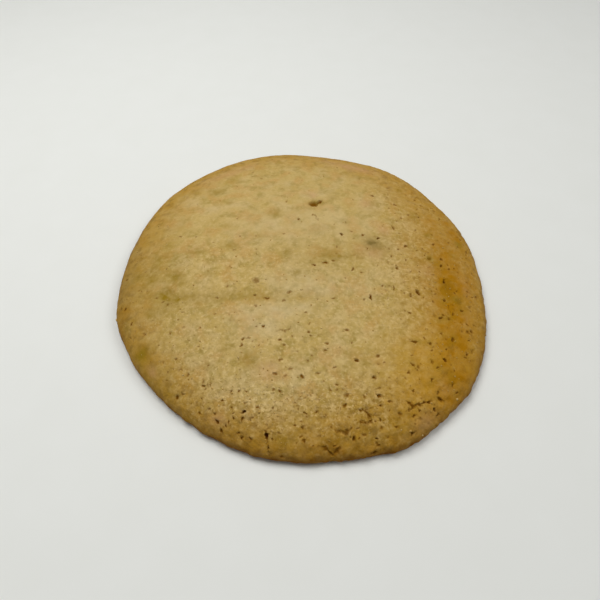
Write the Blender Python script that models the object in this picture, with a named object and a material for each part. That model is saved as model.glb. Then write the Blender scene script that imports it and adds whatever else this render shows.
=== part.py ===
"""Sugar cookie: one oval, low-domed disc of baked dough that lies on its flat base.

All lengths below are in millimetres and become metres when the mesh is made. +Z is up and the base
lies on Z = 0. +X runs along the cookie's short axis and +Y to its back. The origin is under the
middle of the outline. Bearings are in degrees, counter-clockwise from +X as seen from above.

The skin is laid out flat as rings round the top of the dome, made finer where the dough has pits
and cracks, and then wrapped over the dome and under its rim.
"""

from dataclasses import dataclass
from functools import cache

import bmesh
import bpy
import numpy as np
from mathutils import Vector, noise

METRES_PER_MM = 0.001

# Dome
CROWN_HEIGHT = 9.0        # base to the top of the dome
RIM_HEIGHT = 1.3          # height at which the cookie is widest
FOOT_INSET = 0.7          # how far the foot of the rim turns in under the widest line
DOME_EXPONENT = 2.3       # 2 gives an ellipse from middle to rim, more gives a flatter top
MEAN_RADIUS = 41.5        # of the widest line, for spacing the rings along the dome

# Outline: the radius of the widest line every 20 degrees
RIM_RADII = (
    39.7, 40.4, 41.4, 42.8, 42.7, 44.1, 43.6, 42.8, 41.0,
    40.3, 40.4, 40.4, 40.5, 42.0, 42.5, 43.8, 42.9, 40.6,
)
RIM_WOBBLE = 0.10         # fine unevenness of the outline, to either side
RIM_WOBBLE_LENGTH = 4.5   # along the outline, from one bulge to the next

# Swellings of the whole upper surface
LUMP_HEIGHT = 0.22
LUMP_LENGTH = 15.0
RIPPLE_HEIGHT = 0.06
RIPPLE_LENGTH = 4.5
RELIEF_FADE = 1.0         # relief dies out over this height above the base, which stays flat

# Mesh
CROWN_RINGS = 33          # from the top of the dome to the widest line
FOOT_RINGS = 2            # from there to the edge of the base
FINE_EDGE = 0.42          # longest edge in a pit or a crack
REFINING_ROUNDS = 2       # each halves the edges that are still too long
PROFILE_SAMPLES = 2000    # along the dome, from its top to the widest line
OUTLINE_SAMPLES = 720     # along the widest line

# Linear colour of the pale golden crust
DOUGH_COLOUR = (0.46, 0.33, 0.11, 1.0)
DOUGH_ROUGHNESS = 0.72


@dataclass(frozen=True)
class RimBump:
    """A place where the rim stands out, or in where the height is negative."""

    bearing: float
    height: float
    spread: float         # half width, in degrees


@dataclass(frozen=True)
class Pit:
    """An oval hollow in the top, its long axis turned counter-clockwise from +X."""

    x: float
    y: float
    length: float
    width: float
    depth: float
    turn: float = 0.0


@dataclass(frozen=True)
class Crack:
    """A groove along a short line of points in the top."""

    points: tuple
    width: float
    depth: float


RIM_BUMPS = (
    RimBump(bearing=197.0, height=0.55, spread=9.0),
    RimBump(bearing=236.0, height=0.30, spread=7.0),
    RimBump(bearing=243.5, height=0.27, spread=2.5),
    RimBump(bearing=292.5, height=0.33, spread=3.0),
    RimBump(bearing=308.0, height=-0.80, spread=8.0),
)

BURST_BUBBLES = (
    Pit(x=3.6, y=15.9, length=3.2, width=1.7, depth=0.70, turn=18.0),
    Pit(x=-6.1, y=-39.5, length=2.6, width=1.5, depth=1.00, turn=84.0),
    Pit(x=-5.6, y=-41.3, length=1.4, width=1.1, depth=0.55),
    Pit(x=-10.1, y=-35.4, length=1.7, width=1.2, depth=0.75, turn=50.0),
    Pit(x=-10.4, y=-36.7, length=2.0, width=1.1, depth=0.50, turn=35.0),
    Pit(x=-14.9, y=-36.6, length=2.0, width=1.1, depth=0.55, turn=-50.0),
    Pit(x=-14.1, y=-38.1, length=1.4, width=1.2, depth=0.55),
    Pit(x=9.4, y=-39.7, length=1.8, width=1.0, depth=0.50, turn=80.0),
    Pit(x=13.4, y=-39.6, length=1.8, width=1.1, depth=0.55, turn=-20.0),
    Pit(x=19.8, y=-38.4, length=1.6, width=1.3, depth=0.60),
    Pit(x=24.1, y=-34.3, length=2.0, width=1.1, depth=0.60, turn=-60.0),
    Pit(x=25.6, y=-32.5, length=1.7, width=1.2, depth=0.50, turn=-45.0),
    Pit(x=14.1, y=-32.8, length=1.5, width=1.4, depth=0.55),
    Pit(x=13.4, y=-29.5, length=1.3, width=1.3, depth=0.50),
    Pit(x=27.4, y=-24.9, length=1.4, width=1.2, depth=0.45),
    Pit(x=30.2, y=-6.2, length=1.5, width=1.3, depth=0.45),
    Pit(x=23.9, y=-9.9, length=2.0, width=1.0, depth=0.50, turn=-65.0),
    Pit(x=14.2, y=-11.9, length=1.9, width=0.9, depth=0.45, turn=88.0),
    Pit(x=10.4, y=-26.2, length=1.3, width=1.2, depth=0.45),
    Pit(x=9.0, y=5.5, length=1.4, width=1.2, depth=0.45, turn=-30.0),
    Pit(x=17.2, y=5.0, length=1.3, width=1.2, depth=0.45),
)

SUNKEN_SPOTS = (
    Pit(x=-6.0, y=12.4, length=4.5, width=4.0, depth=0.14),
    Pit(x=-20.5, y=21.8, length=5.5, width=4.0, depth=0.16, turn=20.0),
    Pit(x=-15.5, y=2.4, length=4.5, width=3.5, depth=0.14),
    Pit(x=-26.7, y=-5.4, length=4.0, width=4.0, depth=0.16),
    Pit(x=-28.1, y=-9.9, length=4.0, width=3.5, depth=0.16),
    Pit(x=-30.9, y=-22.4, length=4.5, width=3.5, depth=0.22, turn=-50.0),
    Pit(x=-9.8, y=-25.8, length=5.5, width=4.5, depth=0.18, turn=15.0),
    Pit(x=31.1, y=-9.4, length=9.0, width=4.5, depth=0.25, turn=95.0),
    Pit(x=16.2, y=3.3, length=5.0, width=3.5, depth=0.12),
)

SHALLOW_CREASE = Crack(
    points=((-27.9, -10.0), (-18.9, -12.5), (-6.8, -12.2), (7.3, -11.7)), width=4.0, depth=0.20
)

CRACKS = (
    Crack(points=((-6.0, -37.8), (-5.8, -40.2), (-5.6, -42.0)), width=0.9, depth=0.30),
    Crack(points=((19.2, -33.6), (20.6, -34.3), (22.0, -33.8), (23.6, -33.0)), width=1.0, depth=0.42),
    Crack(points=((20.6, -34.3), (19.2, -35.4)), width=1.0, depth=0.42),
    Crack(points=((11.2, -35.1), (12.1, -36.0), (12.4, -37.2), (10.6, -37.3)), width=1.0, depth=0.36),
    Crack(points=((6.5, -38.6), (7.8, -39.3), (8.7, -38.5)), width=1.0, depth=0.34),
    Crack(points=((4.0, -40.9), (5.0, -41.8), (5.6, -42.5)), width=1.1, depth=0.48),
)


def wave_through(radii, bearings):
    """Smooth closed wave that passes through evenly spaced radii."""
    count = len(radii)
    waves = np.fft.rfft(radii) / count
    total = np.full(np.shape(bearings), waves[0].real)
    for order, wave in enumerate(waves[1:], start=1):
        share = 1.0 if 2 * order == count else 2.0
        total += share * (wave.real * np.cos(order * bearings) - wave.imag * np.sin(order * bearings))
    return total


def rim_radius(bearings):
    """Radius of the widest line at each bearing, in radians."""
    radius = wave_through(RIM_RADII, bearings)
    for bump in RIM_BUMPS:
        away = (np.degrees(bearings) - bump.bearing + 180.0) % 360.0 - 180.0
        radius += bump.height * np.exp(-((away / bump.spread) ** 2))
    reach = MEAN_RADIUS / RIM_WOBBLE_LENGTH
    wobble = [noise.noise(Vector((reach * np.cos(b), reach * np.sin(b), 0.0))) for b in bearings]
    return radius + RIM_WOBBLE * np.array(wobble)


@cache
def outline_middle():
    """Middle of the outline's box, measured from the top of the dome."""
    bearings = np.linspace(0.0, 2.0 * np.pi, OUTLINE_SAMPLES, endpoint=False)
    outline = rim_radius(bearings)[:, None] * np.stack((np.cos(bearings), np.sin(bearings)), axis=-1)
    return (outline.max(axis=0) + outline.min(axis=0)) / 2.0


def ring_profile():
    """Share of the rim radius, inset and height at each whole ring, evenly spaced along the skin."""
    angle = np.linspace(0.0, np.pi / 2.0, PROFILE_SAMPLES)
    share = np.sin(angle) ** (2.0 / DOME_EXPONENT)
    height = RIM_HEIGHT + (CROWN_HEIGHT - RIM_HEIGHT) * np.cos(angle)
    run = np.concatenate(([0.0], np.cumsum(np.hypot(np.diff(MEAN_RADIUS * share), np.diff(height)))))
    stops = np.linspace(0.0, run[-1], CROWN_RINGS + 1)
    turn = np.linspace(0.0, np.pi / 2.0, FOOT_RINGS + 1)[1:]
    shares = np.concatenate((np.interp(stops, run, share), np.ones(FOOT_RINGS)))
    insets = np.concatenate((np.zeros(CROWN_RINGS + 1), FOOT_INSET * (1.0 - np.cos(turn))))
    heights = np.concatenate((np.interp(stops, run, height), RIM_HEIGHT * (1.0 - np.sin(turn))))
    return shares, insets, heights


def wrap(rings, bearings, profile):
    """Points of the smooth dome at bearings and at ring numbers, which may fall between rings."""
    shares, insets, heights = profile
    whole = np.arange(len(shares))
    radius = np.interp(rings, whole, shares) * rim_radius(bearings) - np.interp(rings, whole, insets)
    height = np.interp(rings, whole, heights)
    return np.stack((radius * np.cos(bearings), radius * np.sin(bearings), height), axis=-1)


def outward(rings, bearings, profile):
    """Unit normals of the smooth dome, by the slope from half a ring inside to half a ring outside."""
    half = 0.5
    last = CROWN_RINGS + FOOT_RINGS
    inner = wrap(np.clip(rings - half, 0.0, last), bearings, profile)
    outer = wrap(np.clip(rings + half, 0.0, last), bearings, profile)
    fall = inner[:, 2] - outer[:, 2]
    run = np.hypot(outer[:, 0], outer[:, 1]) - np.hypot(inner[:, 0], inner[:, 1])
    normals = np.stack((fall * np.cos(bearings), fall * np.sin(bearings), run), axis=-1)
    normals[rings < half] = (0.0, 0.0, 1.0)
    return normals / np.linalg.norm(normals, axis=1, keepdims=True)


def on_dome(x, y):
    """The point of the smooth dome over a place in the plan, as seen from the top of the dome."""
    x, y = np.array((x, y)) + outline_middle()
    rim = rim_radius(np.array([np.arctan2(y, x)]))[0]
    share = min(np.hypot(x, y) / rim, 1.0)
    return np.array((x, y, RIM_HEIGHT + (CROWN_HEIGHT - RIM_HEIGHT) * (1.0 - share**DOME_EXPONENT) ** 0.5))


def hollow(distance):
    """Depth of a hollow, 1 in its middle and 0 from its lip on."""
    return np.clip(1.0 - distance**2, 0.0, 1.0) ** 1.5


def distance_to_pit(points, pit):
    """Distance of points from a pit's middle, 1 at its lip, measured over the skin."""
    turn = np.radians(pit.turn)
    offset = points - on_dome(pit.x, pit.y)
    along = offset[:, 0] * np.cos(turn) + offset[:, 1] * np.sin(turn)
    across = np.sqrt(np.maximum((offset**2).sum(axis=1) - along**2, 0.0))
    return np.hypot(2.0 * along / pit.length, 2.0 * across / pit.width)


def distance_to_crack(points, crack):
    """Distance of points from the line of a crack, 1 at its lip, measured over the skin."""
    line = [on_dome(x, y) for x, y in crack.points]
    nearest = np.full(len(points), np.inf)
    for start, end in zip(line[:-1], line[1:]):
        leg = end - start
        reach = np.clip((points - start) @ leg / (leg @ leg), 0.0, 1.0)
        away = np.linalg.norm(points - start - reach[:, None] * leg, axis=1)
        nearest = np.minimum(nearest, away)
    return 2.0 * nearest / crack.width


def swelling(points):
    """Broad lumps and finer ripples of the dough."""
    lumps = np.array([noise.noise(Vector(point / LUMP_LENGTH)) for point in points])
    ripples = np.array([noise.noise(Vector(point / RIPPLE_LENGTH)) for point in points])
    return LUMP_HEIGHT * lumps + RIPPLE_HEIGHT * ripples


def relief(points):
    """How far the baked skin stands off the smooth dome; hollows are negative."""
    depth = np.zeros(len(points))
    for pit in BURST_BUBBLES:
        depth = np.maximum(depth, pit.depth * hollow(distance_to_pit(points, pit)))
    for crack in CRACKS:
        depth = np.maximum(depth, crack.depth * hollow(distance_to_crack(points, crack)))
    for spot in SUNKEN_SPOTS:
        depth += spot.depth * hollow(distance_to_pit(points, spot))
    depth += SHALLOW_CREASE.depth * hollow(distance_to_crack(points, SHALLOW_CREASE))
    fade = np.clip(points[:, 2] / RELIEF_FADE, 0.0, 1.0)
    return fade * (swelling(points) - depth)


def in_sharp_hollow(points):
    """Whether each point lies in a pit or a crack that the plain rings are too coarse to show."""
    found = np.zeros(len(points), dtype=bool)
    for pit in BURST_BUBBLES:
        found |= distance_to_pit(points, pit) < 1.0
    for crack in CRACKS:
        found |= distance_to_crack(points, crack) < 1.0
    return found


def add_rings(skin):
    """Lay out the skin flat: a middle point, then rings of six more points each, one apart."""
    inner = [skin.verts.new((0.0, 0.0, 0.0))]
    for ring in range(1, CROWN_RINGS + FOOT_RINGS + 1):
        count = 6 * ring
        bearings = 2.0 * np.pi * np.arange(count) / count
        outer = [skin.verts.new((ring * np.cos(b), ring * np.sin(b), 0.0)) for b in bearings]
        for side in range(6):
            for place in range(ring):
                first = outer[side * ring + place]
                second = outer[(side * ring + place + 1) % count]
                near = inner[(side * (ring - 1) + place) % len(inner)]
                skin.faces.new((near, first, second))
                if place < ring - 1:
                    far = inner[(side * (ring - 1) + place + 1) % len(inner)]
                    skin.faces.new((near, second, far))
        inner = outer


def flat_to_ring(flat_points):
    """Ring numbers and bearings of points in the flat layout."""
    rings = np.hypot(flat_points[:, 0], flat_points[:, 1])
    bearings = np.arctan2(flat_points[:, 1], flat_points[:, 0])
    return np.minimum(rings, CROWN_RINGS + FOOT_RINGS), bearings


def refine(skin, profile):
    """Halve the edges in pits and cracks that are too long to show them."""
    for _ in range(REFINING_ROUNDS):
        edges = list(skin.edges)
        ends = np.array([[vert.co for vert in edge.verts] for edge in edges])
        first = wrap(*flat_to_ring(ends[:, 0]), profile)
        second = wrap(*flat_to_ring(ends[:, 1]), profile)
        long = np.linalg.norm(second - first, axis=1) > FINE_EDGE
        sunk = in_sharp_hollow(first) | in_sharp_hollow(second) | in_sharp_hollow((first + second) / 2.0)
        chosen = [edge for edge, split in zip(edges, long & sunk) if split]
        bmesh.ops.subdivide_edges(skin, edges=chosen, cuts=1, use_grid_fill=True)
        bmesh.ops.triangulate(skin, faces=[face for face in skin.faces if len(face.verts) > 3])
        bmesh.ops.beautify_fill(skin, faces=skin.faces, edges=skin.edges)


def cookie_mesh():
    """The whole cookie as one closed mesh, in metres, centred on its outline."""
    profile = ring_profile()
    skin = bmesh.new()
    add_rings(skin)
    refine(skin, profile)
    rings, bearings = flat_to_ring(np.array([vert.co for vert in skin.verts]))
    points = wrap(rings, bearings, profile)
    points += relief(points)[:, None] * outward(rings, bearings, profile)
    points[:, :2] -= (points.max(axis=0) + points.min(axis=0))[:2] / 2.0
    for vert, point in zip(skin.verts, points):
        vert.co = Vector(point * METRES_PER_MM)
    bmesh.ops.edgeloop_fill(skin, edges=[edge for edge in skin.edges if edge.is_boundary])
    bmesh.ops.recalc_face_normals(skin, faces=skin.faces)
    mesh = bpy.data.meshes.new("cookie")
    skin.to_mesh(mesh)
    skin.free()
    mesh.shade_smooth()
    return mesh


def baked_dough():
    """Pale golden, dry baked dough."""
    material = bpy.data.materials.new("baked sugar cookie dough")
    material.use_nodes = True
    shader = material.node_tree.nodes["Principled BSDF"]
    shader.inputs["Base Color"].default_value = DOUGH_COLOUR
    shader.inputs["Roughness"].default_value = DOUGH_ROUGHNESS
    shader.inputs["Metallic"].default_value = 0.0
    return material


def clear_scene():
    """Remove every object that the scene starts with."""
    for item in list(bpy.data.objects):
        bpy.data.objects.remove(item, do_unlink=True)


def main():
    """Build the cookie in an empty scene."""
    clear_scene()
    cookie = bpy.data.objects.new("cookie", cookie_mesh())
    cookie.data.materials.append(baked_dough())
    bpy.context.scene.collection.objects.link(cookie)


if __name__ == "__main__":
    main()
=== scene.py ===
"""Plain baked sugar cookie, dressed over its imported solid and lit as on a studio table.

Lengths are in millimetres in the cookie's own frame (+Z up, the base on Z = 0, the origin under the
middle of the outline) and become metres where a mesh, a light or the camera is made. Bearings and
turns are in degrees, counter-clockwise from +X as seen from above.
"""

import logging
from collections.abc import Iterable, Iterator
from dataclasses import dataclass, field
from enum import Enum
from functools import cached_property
from typing import Any

import bmesh
import bpy
import numpy as np
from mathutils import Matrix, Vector, noise
from mathutils.bvhtree import BVHTree


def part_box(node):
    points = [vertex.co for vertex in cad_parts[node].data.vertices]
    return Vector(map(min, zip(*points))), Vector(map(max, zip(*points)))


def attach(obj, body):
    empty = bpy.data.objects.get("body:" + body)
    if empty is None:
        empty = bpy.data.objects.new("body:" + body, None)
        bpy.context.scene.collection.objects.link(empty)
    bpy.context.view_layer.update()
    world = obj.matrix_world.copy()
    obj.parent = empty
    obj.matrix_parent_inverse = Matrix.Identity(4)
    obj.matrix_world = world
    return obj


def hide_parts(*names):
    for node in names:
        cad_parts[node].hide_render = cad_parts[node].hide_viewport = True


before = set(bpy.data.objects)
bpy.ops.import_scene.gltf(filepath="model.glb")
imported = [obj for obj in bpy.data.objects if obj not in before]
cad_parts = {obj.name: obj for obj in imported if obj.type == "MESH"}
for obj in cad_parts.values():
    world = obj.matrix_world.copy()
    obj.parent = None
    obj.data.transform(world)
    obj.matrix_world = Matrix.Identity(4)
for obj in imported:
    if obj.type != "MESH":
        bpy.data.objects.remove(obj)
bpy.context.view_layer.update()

MM = 0.001
BODY = "root"
NODE = "cookie"
NOISE_SEED = 4            # without one the vector noise starts from the clock

log = logging.getLogger("sugar cookie")


# ---------------------------------------------------------------------------------------------------
# Nodes, colours and noise
# ---------------------------------------------------------------------------------------------------

MIX_A, MIX_B, MIX_RESULT = 6, 7, 2    # colour sockets of a Mix node
NOISE_LOW, NOISE_HIGH = 0.3, 0.7      # a noise node seldom leaves this range


def add_node(
    tree: bpy.types.NodeTree, kind: str, inputs: dict[str | int, Any] | None = None, **settings: Any
) -> bpy.types.Node:
    """Add one node to a tree.

    Args:
        tree: the shader or geometry tree.
        kind: Blender's name of the node type.
        inputs: what each input socket gets, by name or number: another node, whose first output it
            takes, one output of a node, or a value.
        settings: the node's own properties.

    Returns:
        The new node.
    """
    node = tree.nodes.new(kind)
    for name, value in settings.items():
        setattr(node, name, value)
    for key, value in (inputs or {}).items():
        if isinstance(value, bpy.types.Node):
            value = value.outputs[0]
        if isinstance(value, bpy.types.NodeSocket):
            tree.links.new(value, node.inputs[key])
        else:
            node.inputs[key].default_value = value
    return node


def linear(hex_colour: str) -> tuple[float, float, float, float]:
    """Turn an sRGB colour such as "#BCA261" into the linear RGBA that the nodes take."""
    values = [int(hex_colour[start:start + 2], 16) / 255.0 for start in (1, 3, 5)]
    return (*[v / 12.92 if v <= 0.04045 else ((v + 0.055) / 1.055) ** 2.4 for v in values], 1.0)


def waves_per_metre(length: float) -> float:
    """Scale of a noise pattern whose bumps are about this many millimetres apart."""
    return 1.0 / (length * MM)


def noise_at(points: np.ndarray, length: float) -> np.ndarray:
    """Smooth noise at points, about -1 to 1, with its bumps about `length` apart."""
    return np.array([noise.noise(point) for point in (points / length).tolist()])


# ---------------------------------------------------------------------------------------------------
# Curves
# ---------------------------------------------------------------------------------------------------


def smooth_step(low: float, high: float, values: np.ndarray) -> np.ndarray:
    """Rise smoothly from 0 where values are at low to 1 where they are at high."""
    share = np.clip((values - low) / (high - low), 0.0, 1.0)
    return share * share * (3.0 - 2.0 * share)


def bowl(distance: np.ndarray, power: float) -> np.ndarray:
    """Depth of a hollow, 1 in its middle and 0 from its edge on; a low power makes steep walls."""
    return np.clip(1.0 - distance**2, 0.0, 1.0) ** power


def bell(distance: np.ndarray) -> np.ndarray:
    """Strength of something soft, 1 in its middle and fading out past its edge."""
    return np.exp(-(distance**2))


def from_polar(radius: np.ndarray | float, bearings: np.ndarray, height: np.ndarray) -> np.ndarray:
    """Points in space at a radius, at bearings in radians and at a height."""
    return np.stack((radius * np.cos(bearings), radius * np.sin(bearings), height), axis=-1)


def wave_through(values: tuple[float, ...], bearings: np.ndarray) -> np.ndarray:
    """Smooth closed wave through values that are evenly spaced round the cookie.

    Args:
        values: what it passes through, the first at bearing 0.
        bearings: where to read it, in radians.

    Returns:
        Its value at each bearing.
    """
    waves = np.fft.rfft(values) / len(values)
    total = np.full(np.shape(bearings), waves[0].real)
    for order, wave in enumerate(waves[1:], start=1):
        share = 1.0 if 2 * order == len(values) else 2.0
        total += share * (wave.real * np.cos(order * bearings) - wave.imag * np.sin(order * bearings))
    return total


# ---------------------------------------------------------------------------------------------------
# What the dough shows: rim bumps, pores, cracks, rough places and stains, among them painted light and
# shade
# ---------------------------------------------------------------------------------------------------

LEAST_FLOOR = 0.05        # depth of a pore with a pale floor and no painted shade
FLOOR_SHARE = 0.45        # what a fully dark floor adds, in widths of the pore; the paint there is brown and painted shade


class Tint(Enum):
    """What a stain does to the crust; a few stand for painted light and shade. The value names the mesh
    attribute that carries it.
    """

    TOASTED = "toasted"    # orange-brown, where the dough was thin and hot
    OLIVE = "olive"        # greenish brown, where butter has soaked up, and painted shade on the left flank
    ROSY = "rosy"          # pinkish tan
    PALE = "pale"          # dusty cream
    LIT_OCHRE = "lit_ochre"    # bright ochre: painted light on the lower right slope
    SMUDGE_AND_SHADE = "smudge_and_shade"    # grey-brown smudges, and painted shade along the left rim


@dataclass(frozen=True)
class RimBump:
    """A place where the rim stands out, or in where the height is negative."""

    bearing: float
    height: float
    spread: float         # half width, in degrees


@dataclass(frozen=True)
class Pore:
    """An oval hollow that a bubble left; `dark`, 0 to 1, is how dark its floor is painted: brown floor
    and painted shade in the hollow.
    """

    x: float
    y: float
    length: float
    width: float
    turn: float = 0.0
    dark: float = 0.4
    depth: float = 0.0

    @property
    def floor(self) -> float:
        """Depth of the floor: as given, or in keeping with the pore's width."""
        return self.depth or LEAST_FLOOR + FLOOR_SHARE * self.width * self.dark


@dataclass(frozen=True)
class Crack:
    """A groove along a short line of points in the top."""

    points: tuple[tuple[float, float], ...]
    width: float
    depth: float
    dark: float = 0.4


@dataclass(frozen=True)
class RoughSide:
    """A side of the cookie that baked rougher, from where that starts to where it is full."""

    axis: int             # 0 across the cookie, 1 along it
    start: float
    full: float
    strength: float


@dataclass(frozen=True)
class CrumblyPatch:
    """A round patch where the crust has crumbled; it fades out over its reach."""

    x: float
    y: float
    reach: float
    strength: float


@dataclass(frozen=True)
class Stain:
    """A soft-edged oval patch of another colour."""

    tint: Tint
    x: float
    y: float
    length: float
    width: float
    strength: float
    turn: float = 0.0


RIM_BUMPS = (
    RimBump(bearing=197.0, height=0.55, spread=9.0),
    RimBump(bearing=236.0, height=0.30, spread=7.0),
    RimBump(bearing=243.5, height=0.27, spread=2.5),
    RimBump(bearing=292.5, height=0.33, spread=3.0),
    RimBump(bearing=308.0, height=-0.80, spread=8.0),
)

# The named pores, each where the photo shows it: the deep ones, then the others by side
BURST_BUBBLES = (
    Pore(3.0, 15.7, 2.4, 2.1, turn=10.0, dark=0.50, depth=0.45),
    Pore(4.4, 16.4, 1.9, 1.3, turn=38.0, dark=0.58, depth=0.55),
    Pore(-6.1, -39.5, 2.2, 0.8, turn=84.0, dark=0.92, depth=0.70),
    Pore(-5.7, -41.2, 0.9, 0.6, turn=80.0, dark=0.58, depth=0.35),
    Pore(-10.2, -35.4, 1.3, 0.6, turn=38.0, dark=0.88, depth=0.55),
    Pore(-10.4, -36.5, 1.4, 0.6, turn=42.0, dark=0.60, depth=0.40),
    Pore(-15.0, -36.6, 1.4, 0.6, turn=-50.0, dark=0.52, depth=0.36),
    Pore(-14.2, -38.0, 0.9, 0.7, turn=-20.0, dark=0.52, depth=0.36),
    Pore(9.3, -39.8, 1.2, 0.6, turn=80.0, dark=0.50, depth=0.38),
    Pore(13.3, -39.7, 1.2, 0.5, turn=-18.0, dark=0.52, depth=0.35),
    Pore(19.8, -38.5, 1.2, 0.7, turn=10.0, dark=0.52, depth=0.40),
    Pore(24.1, -34.3, 1.4, 0.8, turn=-55.0, dark=0.65, depth=0.50),
    Pore(25.6, -32.4, 1.4, 0.9, turn=-35.0, dark=0.55, depth=0.45),
    Pore(14.0, -32.7, 1.0, 0.7, turn=15.0, dark=0.62, depth=0.42),
    Pore(13.3, -29.4, 0.8, 0.7, dark=0.62, depth=0.38),
    Pore(27.4, -24.9, 1.1, 0.9, dark=0.74, depth=0.42),
    Pore(30.2, -6.2, 1.2, 0.9, turn=60.0, dark=0.80, depth=0.42),
    Pore(23.9, -9.9, 1.8, 0.8, turn=-65.0, dark=0.82, depth=0.45),
    Pore(14.1, -11.9, 1.6, 0.6, turn=88.0, dark=0.78, depth=0.42),
    Pore(10.3, -26.2, 0.9, 0.8, dark=0.55, depth=0.40),
    Pore(9.0, 5.6, 1.0, 0.8, turn=-30.0, dark=0.70, depth=0.42),
    Pore(17.1, 5.0, 0.9, 0.9, dark=0.70, depth=0.42),
)

BACK_PORES = (
    Pore(13.6, 5.6, 1.0, 0.6, turn=100.0, dark=0.50),
    Pore(22.3, 16.9, 1.1, 0.7, turn=-60.0, dark=0.55),
    Pore(17.1, 19.9, 1.0, 0.7, turn=-30.0, dark=0.40),
    Pore(20.8, 8.5, 1.9, 0.5, turn=-75.0, dark=0.40),
    Pore(-0.5, 10.3, 1.1, 0.8, turn=80.0, dark=0.35),
    Pore(2.8, 11.9, 0.9, 0.5, turn=80.0, dark=0.35),
    Pore(-3.3, 16.5, 1.0, 0.5, turn=90.0, dark=0.28),
    Pore(10.1, 9.5, 0.9, 0.4, turn=80.0, dark=0.30),
    Pore(23.1, 12.1, 0.8, 0.7, dark=0.25),
    Pore(25.0, 13.5, 0.7, 0.5, dark=0.30),
    Pore(25.9, 8.4, 0.9, 0.4, turn=70.0, dark=0.32),
    Pore(29.4, 4.3, 1.0, 0.8, turn=50.0, dark=0.45),
    Pore(33.4, 5.7, 0.9, 0.8, dark=0.35),
    Pore(7.7, 1.7, 0.9, 0.4, turn=85.0, dark=0.32),
    Pore(14.4, 1.5, 0.8, 0.4, turn=80.0, dark=0.35),
    Pore(19.3, 1.7, 0.6, 0.5, dark=0.30),
)

MIDDLE_PORES = (
    Pore(19.4, -0.5, 0.9, 0.5, turn=80.0, dark=0.42),
    Pore(20.3, -3.7, 1.0, 0.8, turn=80.0, dark=0.42),
    Pore(5.2, -2.9, 1.7, 0.6, turn=5.0, dark=0.52),
    Pore(2.8, -3.6, 1.1, 0.6, turn=-25.0, dark=0.55),
    Pore(6.8, -2.4, 0.9, 0.6, dark=0.35),
    Pore(10.9, -4.7, 1.3, 0.6, turn=80.0, dark=0.52),
    Pore(-9.3, -11.5, 0.9, 0.6, dark=0.35),
    Pore(-6.8, -12.2, 1.6, 0.5, turn=5.0, dark=0.48),
    Pore(-3.5, -12.8, 0.8, 0.6, dark=0.38),
    Pore(-2.4, -10.8, 1.5, 0.9, turn=20.0, dark=0.30),
    Pore(6.5, -12.2, 1.5, 0.6, turn=10.0, dark=0.38),
    Pore(19.0, -9.1, 1.4, 0.5, turn=85.0, dark=0.35),
    Pore(-15.1, -9.2, 0.9, 0.7, dark=0.25),
    Pore(-9.2, -7.8, 1.8, 1.6, turn=80.0, dark=0.26, depth=0.10),
    Pore(-16.9, -11.9, 0.9, 0.6, dark=0.32),
    Pore(-7.3, -18.8, 0.8, 0.6, dark=0.55),
    Pore(-4.1, -21.9, 0.7, 0.6, dark=0.42),
    Pore(-3.2, -22.9, 0.7, 0.5, dark=0.38),
    Pore(1.4, -20.3, 0.8, 0.6, turn=-30.0, dark=0.42),
    Pore(1.9, -21.0, 0.8, 0.5, turn=-30.0, dark=0.45),
    Pore(8.8, -19.8, 1.2, 0.8, dark=0.42),
    Pore(4.9, -22.7, 0.8, 0.7, dark=0.42),
    Pore(4.6, -24.0, 0.8, 0.6, dark=0.42),
    Pore(-3.8, -26.0, 1.0, 0.5, turn=-10.0, dark=0.38),
    Pore(1.3, -26.1, 0.7, 0.5, dark=0.30),
    Pore(14.4, -25.1, 0.8, 0.7, dark=0.40),
    Pore(-4.8, -28.7, 0.9, 0.8, dark=0.52),
    Pore(-2.0, -27.7, 1.3, 0.4, dark=0.30),
    Pore(0.3, -29.2, 1.2, 0.6, turn=-22.0, dark=0.55),
    Pore(3.1, -28.6, 1.1, 0.6, dark=0.35),
    Pore(6.2, -27.5, 0.9, 0.5, dark=0.30),
)

RIGHT_PORES = (
    Pore(30.2, -2.0, 1.0, 0.8, turn=60.0, dark=0.62),
    Pore(31.0, -7.8, 5.0, 3.4, turn=95.0, dark=0.07),
    Pore(32.7, -10.9, 2.4, 1.8, turn=40.0, dark=0.10),
    Pore(29.0, -22.8, 3.4, 1.8, turn=60.0, dark=0.06),
    Pore(26.9, -27.8, 2.6, 1.6, turn=50.0, dark=0.08),
    Pore(24.7, -25.6, 0.9, 0.7, dark=0.34),
    Pore(27.9, -0.2, 1.2, 1.0, dark=0.35),
    Pore(29.3, -11.2, 1.1, 0.9, turn=50.0, dark=0.60),
    Pore(26.9, -9.2, 0.8, 0.4, turn=70.0, dark=0.35),
    Pore(32.8, -13.2, 1.0, 0.7, turn=20.0, dark=0.58),
    Pore(30.6, -14.4, 1.1, 0.8, turn=60.0, dark=0.38),
    Pore(27.8, -15.7, 1.1, 0.7, turn=25.0, dark=0.74),
    Pore(29.5, -15.7, 0.8, 0.6, turn=80.0, dark=0.50),
    Pore(27.4, -19.3, 0.9, 0.7, dark=0.42),
    Pore(29.6, -20.4, 1.2, 0.8, turn=70.0, dark=0.66),
    Pore(21.7, -21.7, 1.8, 0.5, turn=8.0, dark=0.62),
    Pore(24.8, -21.7, 1.0, 0.5, turn=10.0, dark=0.50),
    Pore(31.8, -23.7, 1.2, 0.6, turn=20.0, dark=0.28),
    Pore(33.4, -22.2, 1.0, 0.6, turn=60.0, dark=0.16),
    Pore(20.7, -26.4, 1.2, 0.6, turn=-35.0, dark=0.50),
    Pore(25.7, -26.6, 0.9, 0.5, turn=30.0, dark=0.46),
    Pore(24.2, -29.2, 1.2, 0.5, turn=60.0, dark=0.58),
    Pore(28.3, -29.5, 1.0, 0.6, turn=50.0, dark=0.42),
    Pore(29.2, -30.7, 1.2, 0.5, turn=10.0, dark=0.56),
    Pore(25.2, -31.2, 1.4, 0.5, turn=65.0, dark=0.38),
)

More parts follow.
